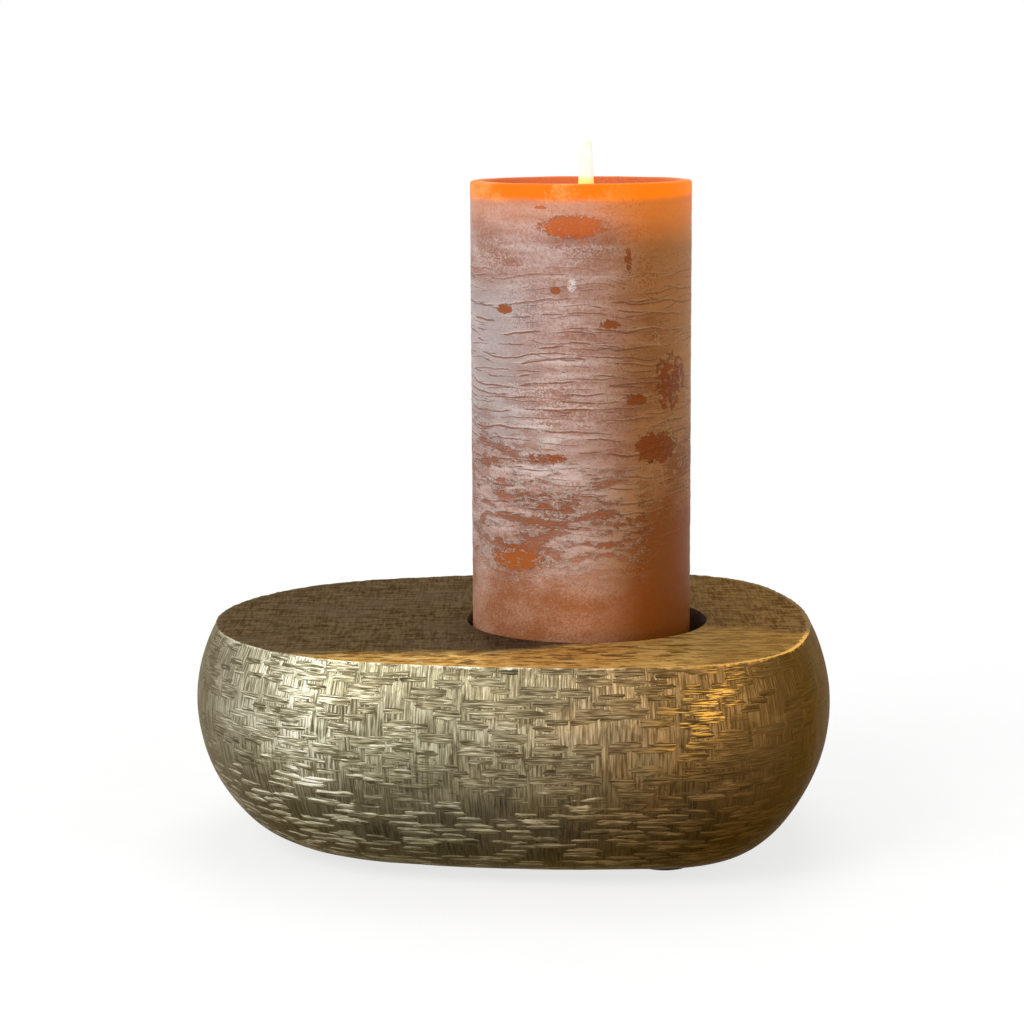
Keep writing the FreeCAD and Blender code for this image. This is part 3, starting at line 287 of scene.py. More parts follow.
def skin(bm, start, steps, pitch):
    """Sweeps a wall's section round the outline. Its steps are straight runs or bends."""
    around = bm.verts.layers.float["around"]
    down = bm.verts.layers.float["down"]
    tip = bmesh.ops.create_vert(bm, co=(start[0], 0, start[1]))["vert"][0]
    column = [tip]
    for kind, first, second, size, count in steps:
        for index in range(count):
            if kind == "run":
                part = bmesh.ops.extrude_vert_indiv(bm, verts=[tip])
                new = part["verts"][0]
                new.co = tip.co + Vector((first, 0, second)) / count
            else:
                part = bmesh.ops.spin(
                    bm, geom=[tip], cent=(first, 0, second), axis=(0, -1, 0),
                    angle=math.radians(size) / count, steps=1, use_duplicate=False,
                )
                new = spots_of(part["geom_last"])[0]
            new[down] = tip[down] + (new.co - tip.co).length
            column.append(new)
            tip = new
    edges = [edge for edge in bm.edges if edge.is_wire and set(edge.verts) <= set(column)]
    geometry = column + edges
    run = 0.0
    uv = bm.loops.layers.uv["strokes"]
    for middle, degrees, length in outline_turns():
        count = max(2, round(length / pitch))
        for index in range(count):
            made = bmesh.ops.spin(
                bm, geom=geometry, cent=(middle.x, middle.y, 0), axis=(0, 0, 1),
                angle=math.radians(degrees) / count, steps=1, use_duplicate=False,
            )
            geometry = made["geom_last"]
            run += length / count
            for spot in spots_of(geometry):
                spot[around] = run / PERIMETER
                for face in spot.link_faces:
                    for loop in face.loops:
                        loop[uv].uv = (loop.vert[around], loop.vert[down] / 100)
    bmesh.ops.remove_doubles(bm, verts=column + spots_of(geometry), dist=WELD)


def turned(bm, middle, corners, count):
    """Turns a broken line about an upright axis and gives back the new faces."""
    before = set(bm.faces)
    places = [(middle[0] + r, middle[1], z) for r, z in corners]
    spots = [bmesh.ops.create_vert(bm, co=place)["vert"][0] for place in places]
    edges = [bm.edges.new(pair) for pair in zip(spots, spots[1:])]
    bmesh.ops.spin(
        bm, geom=spots + edges, cent=(middle[0], middle[1], 0), axis=(0, 0, 1),
        angle=math.tau, steps=count, use_merge=True, use_duplicate=False,
    )
    return [face for face in bm.faces if face not in before]


def rim_edges(bm, level, test):
    """Open edges at one level that the test picks."""
    def at_level(vert):
        return abs(vert.co.z - level) < WELD / 2 and test(vert.co)

    return [edge for edge in bm.edges if edge.is_boundary and all(map(at_level, edge.verts))]


WELL = (24.0, -2.5)
WELL_RADIUS = 38.5
WELL_FLOOR = TOP - 9.5
OPENING_MIDDLE = 4.0
OPENING_HALF_RUN = 14.0
OPENING_RADIUS = 23.0
OPENING_BEVEL = 1.2

bm = bmesh.new()
bm.verts.layers.float.new("around")
bm.verts.layers.float.new("down")
bm.loops.layers.uv.new("strokes")
belly_start = math.degrees(math.atan2(TOP - BELLY[1], -BELLY[0]))
skin(
    bm, (NOSE_TIP + TOP_MARGIN, TOP), (
        ("run", -TOP_MARGIN, 0, 0, 5),
        ("bend", NOSE_TIP + BELLY[0], BELLY[1], 225 - belly_start, 50),
        ("bend", NOSE_TIP + TURN[0], TURN[1], 45, 17),
        ("run", FOOT_MARGIN, 0, 0, 3),
    ), pitch=1.25,
)
inner_rise = TOP - WALL - BELLY[1]
inner_run = math.sqrt((BELLY[2] - WALL) ** 2 - inner_rise ** 2)
inner_start = math.degrees(math.atan2(inner_rise, -inner_run))
skin(
    bm, (NOSE_TIP + BELLY[0] - inner_run + TOP_MARGIN, TOP - WALL), (
        ("run", -TOP_MARGIN, 0, 0, 1),
        ("bend", NOSE_TIP + BELLY[0], BELLY[1], 225 - inner_start, 14),
        ("bend", NOSE_TIP + TURN[0], TURN[1], 45, 5),
        ("run", FOOT_MARGIN, 0, 0, 1),
    ), pitch=5.0,
)
turned(bm, WELL, [
    (WELL_RADIUS + 0.4, TOP), (WELL_RADIUS + 0.1, TOP - 0.12), (WELL_RADIUS, TOP - 0.4),
    (WELL_RADIUS, WELL_FLOOR + 0.5), (WELL_RADIUS - 0.5, WELL_FLOOR), (20.0, WELL_FLOOR),
    (0.0, WELL_FLOOR),
], 144)
turned(bm, WELL, [
    (WELL_RADIUS + WALL + 3, TOP - WALL), (WELL_RADIUS + WALL, TOP - WALL - 3),
    (WELL_RADIUS + WALL, WELL_FLOOR - WALL), (0.0, WELL_FLOOR - WALL),
], 72)
bmesh.ops.remove_doubles(bm, verts=bm.verts, dist=WELD)


def opening_ring(grow, level):
    """The round-ended opening in the foot, as a ring of edges."""
    start = (OPENING_MIDDLE + OPENING_HALF_RUN, -OPENING_RADIUS - grow, level)
    tip = bmesh.ops.create_vert(bm, co=start)["vert"][0]
    spots = [tip]
    for side in (1, -1):
        turn_middle = (OPENING_MIDDLE + OPENING_HALF_RUN * side, 0, level)
        for index in range(24):
            made = bmesh.ops.spin(
                bm, geom=[tip], cent=turn_middle, axis=(0, 0, 1),
                angle=math.pi / 24, steps=1, use_duplicate=False,
            )
            tip = spots_of(made["geom_last"])[0]
            spots.append(tip)
        if side == 1:
            tip = bmesh.ops.extrude_vert_indiv(bm, verts=[tip])["verts"][0]
            tip.co.x -= 2 * OPENING_HALF_RUN
            spots.append(tip)
    bm.edges.new((spots[-1], spots[0]))
    return [edge for edge in bm.edges if set(edge.verts) <= set(spots)]


steps = ((OPENING_BEVEL, FOOT), (0, FOOT + OPENING_BEVEL), (0, FOOT + WALL))
rings = [opening_ring(grow, level) for grow, level in steps]
for lower, upper in zip(rings, rings[1:]):
    bmesh.ops.bridge_loops(bm, edges=lower + upper)


def fill(level, hole):
    """Closes the flat band between the swept wall and a hole in it."""
    outer = rim_edges(bm, level, lambda spot: not hole(spot))
    inner = rim_edges(bm, level, hole)
    bmesh.ops.triangle_fill(bm, use_beauty=True, edges=outer + inner)


def in_well(reach):
    """A test for spots within a reach of the well's axis."""
    return lambda spot: (spot.xy - Vector(WELL)).length < reach


def in_opening(spot):
    """Whether a spot lies on or just outside the rim of the opening in the foot."""
    reach = OPENING_HALF_RUN + OPENING_RADIUS + 3
    return abs(spot.x - OPENING_MIDDLE) < reach and abs(spot.y) < OPENING_RADIUS + 2


fill(TOP, in_well(WELL_RADIUS + 1))
fill(TOP - WALL, in_well(WELL_RADIUS + WALL + 4))
fill(FOOT, in_opening)
fill(FOOT + WALL, in_opening)
bmesh.ops.recalc_face_normals(bm, faces=bm.faces)

CORE = Vector((0, 0, 40))
CUT_DEPTH = 0.22
BURR_REACH = 1.3
BURR_RISE = 0.16
BURR_OUT = 0.2
BRUSHED = 1
RAW = 2
down = bm.verts.layers.float["down"]
outer_rows = [vert for vert in bm.verts if vert.co.z > FOOT + 0.01 and 0 < vert[down] < 100]
for vert in outer_rows:
    outward = Vector((vert.normal.x, vert.normal.y, 0))
    below = vert[down] - TOP_MARGIN
    if vert.co.z < TOP - WALL + 0.01 and vert.normal.dot(vert.co - CORE) < 0:
        continue
    lumps = noise.noise(vert.co / 14) + 0.5 * noise.noise(vert.co / 5)
    if below > 0.5:
        vert.co -= vert.normal * CUT_DEPTH * (0.75 + 0.5 * lumps)
    else:
        burr = noise.noise(vert.co / 2.2) + 0.7 * noise.noise(vert.co / 0.9)
        near_edge = max(0.0, 1 - abs(below) / BURR_REACH)
        vert.co.z += near_edge * BURR_RISE * burr
        vert.co += outward * near_edge * BURR_OUT * burr
for face in bm.faces:
    face.smooth = True
    middle = face.calc_center_median()
    beyond = (middle.xy - Vector(WELL)).length
    if middle.z > TOP - 0.35 and face.normal.z > 0.8:
        face.material_index = BRUSHED
    elif beyond < WELL_RADIUS + 0.6 and WELL_FLOOR - 0.1 < middle.z:
        face.material_index = RAW
    elif face.normal.dot(middle - CORE) < 0 or face.normal.z < -0.98:
        face.material_index = RAW
for edge in bm.edges:
    if edge.is_manifold and edge.calc_face_angle() > math.radians(35):
        edge.smooth = False


def parted(place):
    """The three parts of a place."""
    split = place.node("SeparateXYZ", None, {0: place})
    return [Value(place.tree, output) for output in split.socket.node.outputs]


flank_finish, paint = finish("antique_gold_flank")
place = paint.node("UVMap", {"uv_map": "strokes"})
turn, fall, _ = parted(place)
fall = fall * 100
angle = turn * math.tau
RING = PERIMETER / math.tau
ring = {0: angle.math("COSINE") * RING, 1: angle.math("SINE") * RING, 2: fall}
ring = paint.node("CombineXYZ", None, ring)


def cell_chance(paint, across, up, output=0):
    """A number from 0 to 1, or with output 1 three of them, for each cell of a grid."""
    cell = paint.node("CombineXYZ", None, {0: across, 1: up})
    return paint.node("TexWhiteNoise", {"noise_dimensions": "2D"}, {0: cell}, output)


def cuts(pitch, count, seed, share, points):
    """Level cuts in wavy rows: how far in a cut a point lies, its own chance, its upper edge."""
    wave = mottle(ring, 0.03, 0.05, detail=1, seed=seed)
    level = (fall + wave * 6 + seed) / pitch
    row = level.math("FLOOR")
    along = turn * count + cell_chance(paint, row, seed)
    cell = along.math("FLOOR")
    home = cell.math("MODULO", count), row + seed
    chance = cell_chance(paint, *home)
    off_row, spread, _ = parted(cell_chance(paint, *home, output=1))
    reach = 0.62 + spread * 0.5
    waver = mottle(ring, 0.35, 0.6, detail=2, seed=seed + 5) - 0.5
    up = (level - row - 0.5) * 2 + waver * 1.1 + (off_row - 0.5) * 0.7
    ragged = (mottle(ring, 0.12, 1.4, detail=2, seed=seed + 3) - 0.5) * 0.9
    side = ((along - cell - 0.5) * 2 + ragged).math("ABSOLUTE") / reach
    lens = 1 - side.math("POWER", points) - up * up
    here = rise(chance, 1 - share, 1.02 - share)
    upper = rise(up, 0.15, -0.35) * here * rise(lens, 0.0, 0.2)
    return rise(lens, 0.0, 0.25) * here, chance, upper


spot = paint.node("TexCoord", None, None, "Object")
along_x = parted(spot)[0] * 1000
down_mm = fall - TOP_MARGIN
zone = mottle(ring, 0.05, 0.09, detail=2.0, seed=19.0)
fall_low = rise(down_mm + (zone - 0.5) * 60, 36.0, 41.0)
block, block_chance, _ = cuts(3.3, 53, 11.0, 0.52, 6.0)
slim, _, _ = cuts(2.0, 71, 37.0, 0.38, 5.0)
dash, dash_chance, dash_highlight = cuts(2.2, 53, 71.0, 0.56, 2.2)
wide_dash, _, wide_highlight = cuts(3.2, 44, 97.0, 0.44, 1.8)
weave = block.math("MAXIMUM", slim) * (1 - fall_low)
dashes = dash.math("MAXIMUM", wide_dash) * fall_low
level_cut = weave.math("MAXIMUM", dashes)
upright = mottle(ring, 1.8, 0.14, detail=2.0, rough=0.55, seed=2.0)
upright_fine = mottle(ring, 2.6, 0.16, detail=1.0, rough=0.5, seed=12.0)
level_hatch = mottle(ring, 0.14, 2.0, detail=2.0, rough=0.55, seed=5.0)
level_fine = mottle(ring, 0.22, 2.8, detail=1.0, rough=0.5, seed=15.0)
group_x = (turn * 84 + mottle(ring, 0.05, 0.3, detail=1, seed=33) * 1.5).math("FLOOR")
group_y = (fall / 7.0 + mottle(ring, 0.3, 0.05, detail=1, seed=35) * 1.5).math("FLOOR")
group = cell_chance(paint, group_x, group_y)
patch = mottle(ring, 0.07, 0.11, detail=2.0, seed=9.0)
stroke_v = rise(upright * 0.65 + upright_fine * 0.35, 0.36, 0.64)
stroke_h = rise(level_hatch * 0.65 + level_fine * 0.35, 0.36, 0.64)
ground_low = 1 - rise(down_mm, 22, 52) * 0.75
tone_v = 0.06 + ground_low * (0.15 + group * 0.24) + stroke_v * (0.10 + 0.40 * ground_low)
tone_h = 0.19 + stroke_h * 0.48 + (block_chance - 0.5) * 0.2
# Painted highlights along the upper edges of the level dashes low on the flank, weaker to the
# right.
edge = dash_highlight.math("MAXIMUM", wide_highlight) * fall_low
edge = edge * (0.30 + stroke_h * 0.40) * (1 - rise(along_x, 10, 90) * 0.5)
tone_dash = 0.18 + stroke_h * 0.42 + edge + (dash_chance - 0.7) * 0.25
tone_level = tone_h + (tone_dash - tone_h) * fall_low
tone = tone_v + (tone_level - tone_v) * level_cut
tone = tone + (patch - 0.5) * 0.30
# Painted light: a highlight at the front left; painted shade right, at the tip, foot and top edge.
key_highlight = (along_x + 66) / 21
key_highlight = (0 - key_highlight * key_highlight).math("EXPONENT")
painted_light_level = (1 - rise(along_x, 10, 104) * 0.42) * (0.775 + 0.27 * key_highlight)
painted_light_level = painted_light_level * (0.78 + 0.22 * rise(along_x, -99, -84))
right_low = rise(down_mm, 8, 30) * rise(along_x, 10, 60)
painted_light_level = painted_light_level * (1 - rise(down_mm, 16, 72) * 0.52 - right_low * 0.12)
dim_x = rise(along_x, -60, -42) * (1 - rise(along_x, 0, 20))
painted_light_level = painted_light_level * (1 - (1 - rise(down_mm, 6, 16)) * dim_x * 0.13)
# Painted warm light: the right side turns warm brown gold, with less contrast at the far right.
warm_light = rise(along_x + (patch - 0.5) * 40, -26, 66)
tone = tone + (0.42 - tone) * rise(along_x, 50, 88) * 0.5
# Painted highlights: sparse bright glints on the level strokes of the upper flank.
flash_glint = rise(level_fine + (patch - 0.5) * 0.3, 0.60, 0.70)
flash_glint = flash_glint * level_cut * (1 - fall_low) * (1 - warm_light)
tone = (tone + flash_glint * 0.3) * painted_light_level
# A painted highlight: a narrow bright upright streak down the front left of the flank.
column = (along_x + 60 + (zone - 0.5) * 30) / 8
column = (0 - column * column).math("EXPONENT") * (1 - rise(down_mm, 34, 62))
tone = tone + column * 0.13 * rise(tone, 0.3, 0.6)
# The same finish as lit by cool light and by warm light; the painted warm light picks between them.
pale = tone.node("ValToRGB", {"stops": (
    (0.0, srgb(34, 28, 16)), (0.25, srgb(103, 94, 70)), (0.5, srgb(156, 149, 120)),
    (0.75, srgb(206, 202, 177)), (1.0, srgb(242, 240, 224)),
)}, {0: tone})
brown = tone.node("ValToRGB", {"stops": (
    (0.0, srgb(36, 22, 6)), (0.25, srgb(99, 72, 36)), (0.5, srgb(149, 113, 66)),
    (0.75, srgb(196, 156, 98)), (1.0, srgb(232, 200, 146)),
)}, {0: tone})
coat = mix(warm_light, pale, brown)
# A painted highlight of warm candlelight: gold glints at the front right, less rough there too.
glint_x = (along_x - 55 + (down_mm - 14) * 0.5) / 9
glint_y = (down_mm - 14) / 11
candle_glint = (0 - glint_x * glint_x - glint_y * glint_y).math("EXPONENT")
candle_glint = candle_glint * level_cut * rise(level_fine, 0.46, 0.60)
coat = mix(candle_glint * 0.95, coat, srgb(255, 190, 84))
coat = mix((1 - rise(along_x, -97, -72)) * 0.34, coat, srgb(142, 138, 126))
# A painted highlight: a thin broken pale line along the flank's top edge, gold where light is warm.
nick = mottle(ring, 0.5, 0.5, detail=3, rough=0.7, seed=23)
broken = rise(mottle(ring, 0.16, 0.16, detail=2, seed=27), 0.42, 0.56)
arris_highlight = (1 - rise(down_mm + (nick - 0.5) * 2.4, 0.0, 0.7)) * broken
coat = mix(arris_highlight * 0.7, coat, mix(warm_light, srgb(244, 240, 220), srgb(214, 156, 74)))
upright_height = (upright * 0.6 + upright_fine * 0.3) * (1 - level_cut)
level_height = (level_hatch * 0.6 + level_fine * 0.3) * level_cut
height = upright_height + level_height + level_cut * 0.5 + patch * 0.3
bump = paint.node("Bump", None, {"Strength": 0.85, "Distance": 0.00045, "Height": height})
surface(paint, paint.node("BsdfPrincipled", None, {
    "Base Color": coat, "Metallic": 1.0, "Roughness": 0.40 + patch * 0.15 - candle_glint * 0.2,
    "Normal": bump, "Specular Tint": (0.62, 0.53, 0.42, 1),
}))

top_finish, paint = finish("brushed_gold_top")
spot = paint.node("TexCoord", None, None, "Object")
flat = paint.node("Mapping", None, {"Vector": spot, "Scale": (1000, 1000, 1000)})
x_mm, y_mm, _ = parted(flat)


def strokes(along_x, along_y, detail, rough, seed, fineness=1.0):
    """Noise drawn out into the strokes of a brush."""
    drawn = flat.node("Mapping", None, {"Vector": flat, "Scale": (along_x, along_y, 1.0)})
    return mottle(drawn, fineness, fineness, detail=detail, rough=rough, seed=seed)


brushed = strokes(0.13, 0.36, 3, 0.7, 0)
crossed = strokes(1.0, 0.10, 2, 0.6, 4, fineness=1.3)
level = strokes(0.14, 0.45, 3, 0.65, 6)
fleck = strokes(0.11, 0.34, 3, 0.6, 15)
cloud = mottle(flat, 0.05, 0.05, detail=4, seed=7)
# Painted warm light: a gold band along the top's front, with its own brushed strokes, less rough.
bound = rise(x_mm, -8, 66) * 36 - 54 + rise(x_mm, 66, 92) * -10
gold_light = rise(bound - y_mm + (fleck - 0.5) * 14 + (brushed - 0.5) * 8, -5.0, 6.0)
gold_light = gold_light * rise(x_mm, -80, -48)
weave = level * 0.6 + crossed * 0.4
dull = mix(rise(weave, 0.36, 0.64), srgb(50, 38, 25), srgb(102, 86, 68))
dull = mix(rise(cloud, 0.40, 0.66) * 0.5, dull, srgb(92, 80, 67))
# Painted shade: the top turns darker and browner to the right, behind the candle.
shaded_dull = mix(rise(weave, 0.40, 0.60), srgb(86, 56, 28), srgb(132, 100, 60))
dull = mix(rise(x_mm, 30, 80) * 0.7, dull, shaded_dull)
gold = mix(rise(brushed, 0.43, 0.53), srgb(176, 120, 52), srgb(252, 208, 124))
gold = mix(rise(brushed, 0.57, 0.64), gold, srgb(255, 232, 168))
# The painted light is brightest in front of the candle and dims towards the band's left end.
gold = mix(rise(x_mm, -26, 10) * 0.5, gold, srgb(255, 222, 132))
fleck_colour = mix(brushed, srgb(98, 70, 36), srgb(146, 110, 64))
gold = mix(rise(fleck, 0.56, 0.58) * 0.8, gold, fleck_colour)
# Painted shade: the gold band turns dark brown to the right, behind the candle.
shaded_gold = mix(rise(brushed, 0.44, 0.56), srgb(88, 54, 22), srgb(128, 84, 40))
gold = mix(rise(x_mm, 42, 64) * 0.82, gold, shaded_gold)
gold = mix((1 - rise(x_mm, -44, -4)) * 0.4, gold, srgb(112, 78, 42))
# A painted highlight along the top's edge, gold in the front band and pale elsewhere.
margin = parted(paint.node("UVMap", {"uv_map": "strokes"}))[1] * 100
nick = mottle(flat, 0.45, 0.45, detail=3, rough=0.7, seed=23)
arris_highlight = rise(margin + (nick - 0.5) * 3.4 + rise(x_mm, 26, 50) * 0.8, 5.1, 5.9)
gold = mix(arris_highlight * 0.85, gold, srgb(250, 196, 108))
dull = mix(arris_highlight * 0.3, dull, srgb(160, 146, 116))
dull_height = crossed + level
height = dull_height + (brushed * 2 - dull_height) * gold_light
bump = paint.node("Bump", None, {"Strength": 0.7, "Distance": 0.0004, "Height": height})
surface(paint, paint.node("BsdfPrincipled", None, {
    "Base Color": mix(gold_light, dull, gold), "Metallic": 1.0, "Roughness": 0.6 - gold_light * 0.15,
    "Normal": bump, "Specular Tint": (0.6, 0.5, 0.36, 1),
}))

raw_finish, paint = finish("raw_casting")
spot = paint.node("TexCoord", None, None, "Object")
sand = mottle(spot, 900, 900, detail=3)
stain = mottle(spot, 60, 60, detail=3, seed=3)
bump = paint.node("Bump", None, {"Strength": 0.5, "Distance": 0.0004, "Height": sand})
surface(paint, paint.node("BsdfPrincipled", None, {
    "Base Color": mix(stain, srgb(70, 56, 38), srgb(104, 86, 60)), "Metallic": 0.8,
    "Roughness": 0.5 + sand * 0.2, "Normal": bump,
}))
finishes = [flank_finish, top_finish, raw_finish]
casting = piece_from(bm, "chiselled_casting", "holder", finishes)
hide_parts("holder_casting")


# Foot pads
# Four dull black stick-on discs of soft rubber, pressed on under the flat foot of the casting.
pad_finish, paint = finish("pad_rubber")
spot = paint.node("TexCoord", None, None, "Object")
grain = mottle(spot, 1400, 1400, detail=2)
bump = paint.node("Bump", None, {"Strength": 0.4, "Distance": 0.0002, "Height": grain})
surface(paint, paint.node("BsdfPrincipled", None, {
    "Base Color": mix(grain, srgb(30, 26, 22), srgb(52, 45, 38)), "Roughness": 0.8, "Normal": bump,
}))


def dress(material, *nodes):
    """Gives CAD pieces their finish."""
    for node in nodes:
        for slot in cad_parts[node].material_slots:
            slot.material = material


dress(pad_finish, "foot_pad_back_right", "foot_pad_back_left")
dress(pad_finish, "foot_pad_front_right", "foot_pad_front_left")


# Wax body
# A pillar cast in rust-brown wax with a frosted, crackled skin, as wax poured into a cold mould
# gets it. It is bored from below for the battery unit and has a shallow dish on top, where a thin
# wall of wax glows round the flame.
CANDLE = (22.2, -2.5, 61.7)
WAX_RADIUS = 35.0
WAX_HEIGHT = 150.0
RIM_INSIDE = 31.0
DISH_EDGE = WAX_HEIGHT - 4.5
DISH_MIDDLE = WAX_HEIGHT - 8.0
SOCKET = (CANDLE[0] + 1.6, CANDLE[1])
SOCKET_BORE = 6.05
SOCKET_DEPTH = 12.0
DISH_HOLE = 9.0
CHANNEL_RADIUS = 5.0
CHANNEL_FOOT = 94.8
CASE_RADIUS = 28.0
CASE_TOP = 72.8
CONE_RADIUS = 7.2
CONE_TOP = 93.0
WAX_SIDES = 240


def rounded(middle_r, middle_z, radius, start, end, count):
    """Points of a small round in a turned section."""
    spots = []
    for index in range(count + 1):
        turn_at = math.radians(start + (end - start) * index / count)
        spots.append((middle_r + radius * math.cos(turn_at), middle_z + radius * math.sin(turn_at)))
    return spots


def straight(start, end, pitch):
    """Points along a straight of a turned section, without its first one."""
    count = max(1, round(math.dist(start, end) / pitch))
    run, climb = end[0] - start[0], end[1] - start[1]
    return [
        (start[0] + run * index / count, start[1] + climb * index / count)
        for index in range(1, count + 1)
    ]


def dish(reach):
    """The height of the melt dish at a distance from the candle's axis."""
    return DISH_MIDDLE + (DISH_EDGE - DISH_MIDDLE) * reach / RIM_INSIDE


section = [(DISH_HOLE, dish(DISH_HOLE))]
section += straight(section[-1], (RIM_INSIDE - 0.8, dish(RIM_INSIDE - 0.8)), 2.0)
section += [(RIM_INSIDE - 0.2, dish(RIM_INSIDE) + 0.25)]
section += straight(section[-1], (RIM_INSIDE, WAX_HEIGHT - 0.9), 1.0)
section += rounded(RIM_INSIDE + 0.9, WAX_HEIGHT - 0.9, 0.9, 180, 90, 3)
section += rounded(WAX_RADIUS - 1.0, WAX_HEIGHT - 1.0, 1.0, 90, 0, 4)
section += straight(section[-1], (WAX_RADIUS, 2.5), 1.2)
section += rounded(WAX_RADIUS - 2.5, 2.5, 2.5, 0, -90, 5)
section += [(CASE_RADIUS, 0.0)]
section += straight(section[-1], (CASE_RADIUS, CASE_TOP), 8.0)
section += straight(section[-1], (CONE_RADIUS, CONE_TOP), 6.0)

bm = bmesh.new()
turned(bm, CANDLE, [(r, z + CANDLE[2]) for r, z in section], WAX_SIDES)
bmesh.ops.remove_doubles(bm, verts=bm.verts, dist=WELD / 2)


def wax_ring(radius, level):
    """A ring about the flame's own axis, a little right of the candle's."""
    place = Matrix.Translation((*SOCKET, level))
    spots = bmesh.ops.create_circle(bm, segments=WAX_SIDES, radius=radius, matrix=place)["verts"]
    return spots, [edge for edge in bm.edges if set(edge.verts) <= set(spots)]


mouth_spots, mouth = wax_ring(SOCKET_BORE, CANDLE[2])
for vert in mouth_spots:
    vert.co.z = CANDLE[2] + dish((vert.co.xy - Vector(CANDLE[:2])).length)
seat = wax_ring(SOCKET_BORE, CANDLE[2] + DISH_MIDDLE - SOCKET_DEPTH)[1]
channel = wax_ring(CHANNEL_RADIUS, CANDLE[2] + DISH_MIDDLE - SOCKET_DEPTH)[1]
channel_foot = wax_ring(CHANNEL_RADIUS, CANDLE[2] + CHANNEL_FOOT)[1]
dish_hole = rim_edges(bm, CANDLE[2] + dish(DISH_HOLE), lambda spot: True)
cone_hole = rim_edges(bm, CANDLE[2] + CONE_TOP, lambda spot: True)
bore = (dish_hole, mouth, seat, channel, channel_foot, cone_hole)
for upper, lower in zip(bore, bore[1:]):
    bmesh.ops.bridge_loops(bm, edges=upper + lower)
bmesh.ops.recalc_face_normals(bm, faces=bm.faces)
for vert in bm.verts:
    reach = (vert.co.xy - Vector(CANDLE[:2])).length
    height = vert.co.z - CANDLE[2]
    if reach > RIM_INSIDE + 0.5 and height > 1.0:
        sway = noise.noise(vert.co / 24) * 0.5 + noise.noise(vert.co / 7) * 0.3
        crease = noise.noise(Vector((vert.co.x / 16, vert.co.y / 16, vert.co.z / 2.4)))
        vert.co -= Vector((vert.normal.x, vert.normal.y, 0)) * (0.12 + 0.14 * sway + 0.10 * crease)
        if height > WAX_HEIGHT - 0.6:
            vert.co.z -= 0.12 + 0.12 * noise.noise(Vector((vert.co.x / 9, vert.co.y / 9, 0)))
for face in bm.faces:
    face.smooth = True
for edge in bm.edges:
    if edge.is_manifold and edge.calc_face_angle() > math.radians(40):
        edge.smooth = False

wax_finish, paint = finish("frosted_wax")
spot = paint.node("TexCoord", None, None, "Object")
wax = paint.node("Mapping", None, {
    "Vector": spot, "Location": tuple(-part for part in CANDLE), "Scale": (1000, 1000, 1000),
})
side_mm, front_mm, up_mm = parted(wax)

fine = mottle(wax, 0.9, 0.9, detail=4, rough=0.65)
speck = mottle(wax, 1.3, 1.7, detail=3, rough=0.7, seed=51)
cloud = mottle(wax, 0.045, 0.06, detail=4, rough=0.55, seed=11)
band = mottle(wax, 0.05, 0.35, detail=4, rough=0.6, seed=21)
swirl = wax.node("TexNoise", None, {"Vector": wax, "Scale": 0.09, "Detail": 2.0}, output=1)
bent = wax.node("VectorMath", {"operation": "ADD"}, {
    0: wax, 1: wax.node("VectorMath", {"operation": "SCALE"}, {0: swirl, "Scale": 4.0}),
})


def crack(pitch, seed, width, keep):
    """Thin level lines, one to a wavy row and broken up along it, and the pale lip over each."""
    wander = mottle(wax, 0.030, 0.015, detail=3, rough=0.5, seed=seed)
    level = (up_mm + wander * 11 + seed) / pitch
    row = level.math("FLOOR")
    above = (level - row - 0.25 - cell_chance(paint, row, seed) * 0.5) * pitch + (fine - 0.5) * 0.7
    broken = rise(mottle(wax, 0.05, 0.5, detail=3, seed=seed + 9), keep, keep + 0.08)
    line = 1 - rise(above.math("ABSOLUTE") + (1 - broken) * width, width * 0.5, width * 1.1)
    lip = rise(above, width * 0.6, width * 1.2) * (1 - rise(above, width * 1.6, width * 3.2))
    return line * rise(broken, 0.0, 0.2), lip * broken


long_line, long_lip = crack(4.6, 3.0, 0.31, 0.48)
short_line, short_lip = crack(2.9, 43.0, 0.24, 0.51)
fine_line, fine_lip = crack(1.9, 83.0, 0.18, 0.52)
line_zone = rise(up_mm, 30, 60) * (1 - rise(up_mm + (cloud - 0.5) * 20, 112, 132))
lines = long_line.math("MAXIMUM", short_line).math("MAXIMUM", fine_line * 0.7)
lines = lines * line_zone * (1 - rise(side_mm, 8, 26) * 0.5)
lips = long_lip.math("MAXIMUM", short_lip).math("MAXIMUM", fine_lip * 0.6) * line_zone


def mark(side, up, half_side, half_up, ragged, fineness=0.5):
    """A patch of bare wax on the front at a given place, with a ragged edge."""
    away_side = (side_mm - side) / half_side
    away_up = (up_mm - up) / half_up
    away = away_side * away_side + away_up * away_up
    edge = (mottle(wax, fineness, fineness * 1.2, detail=4, rough=0.75, seed=31) - 0.5) * ragged
    return (1 - rise(away + edge, 0.75, 0.95)) * (1 - rise(front_mm, -6, 4))


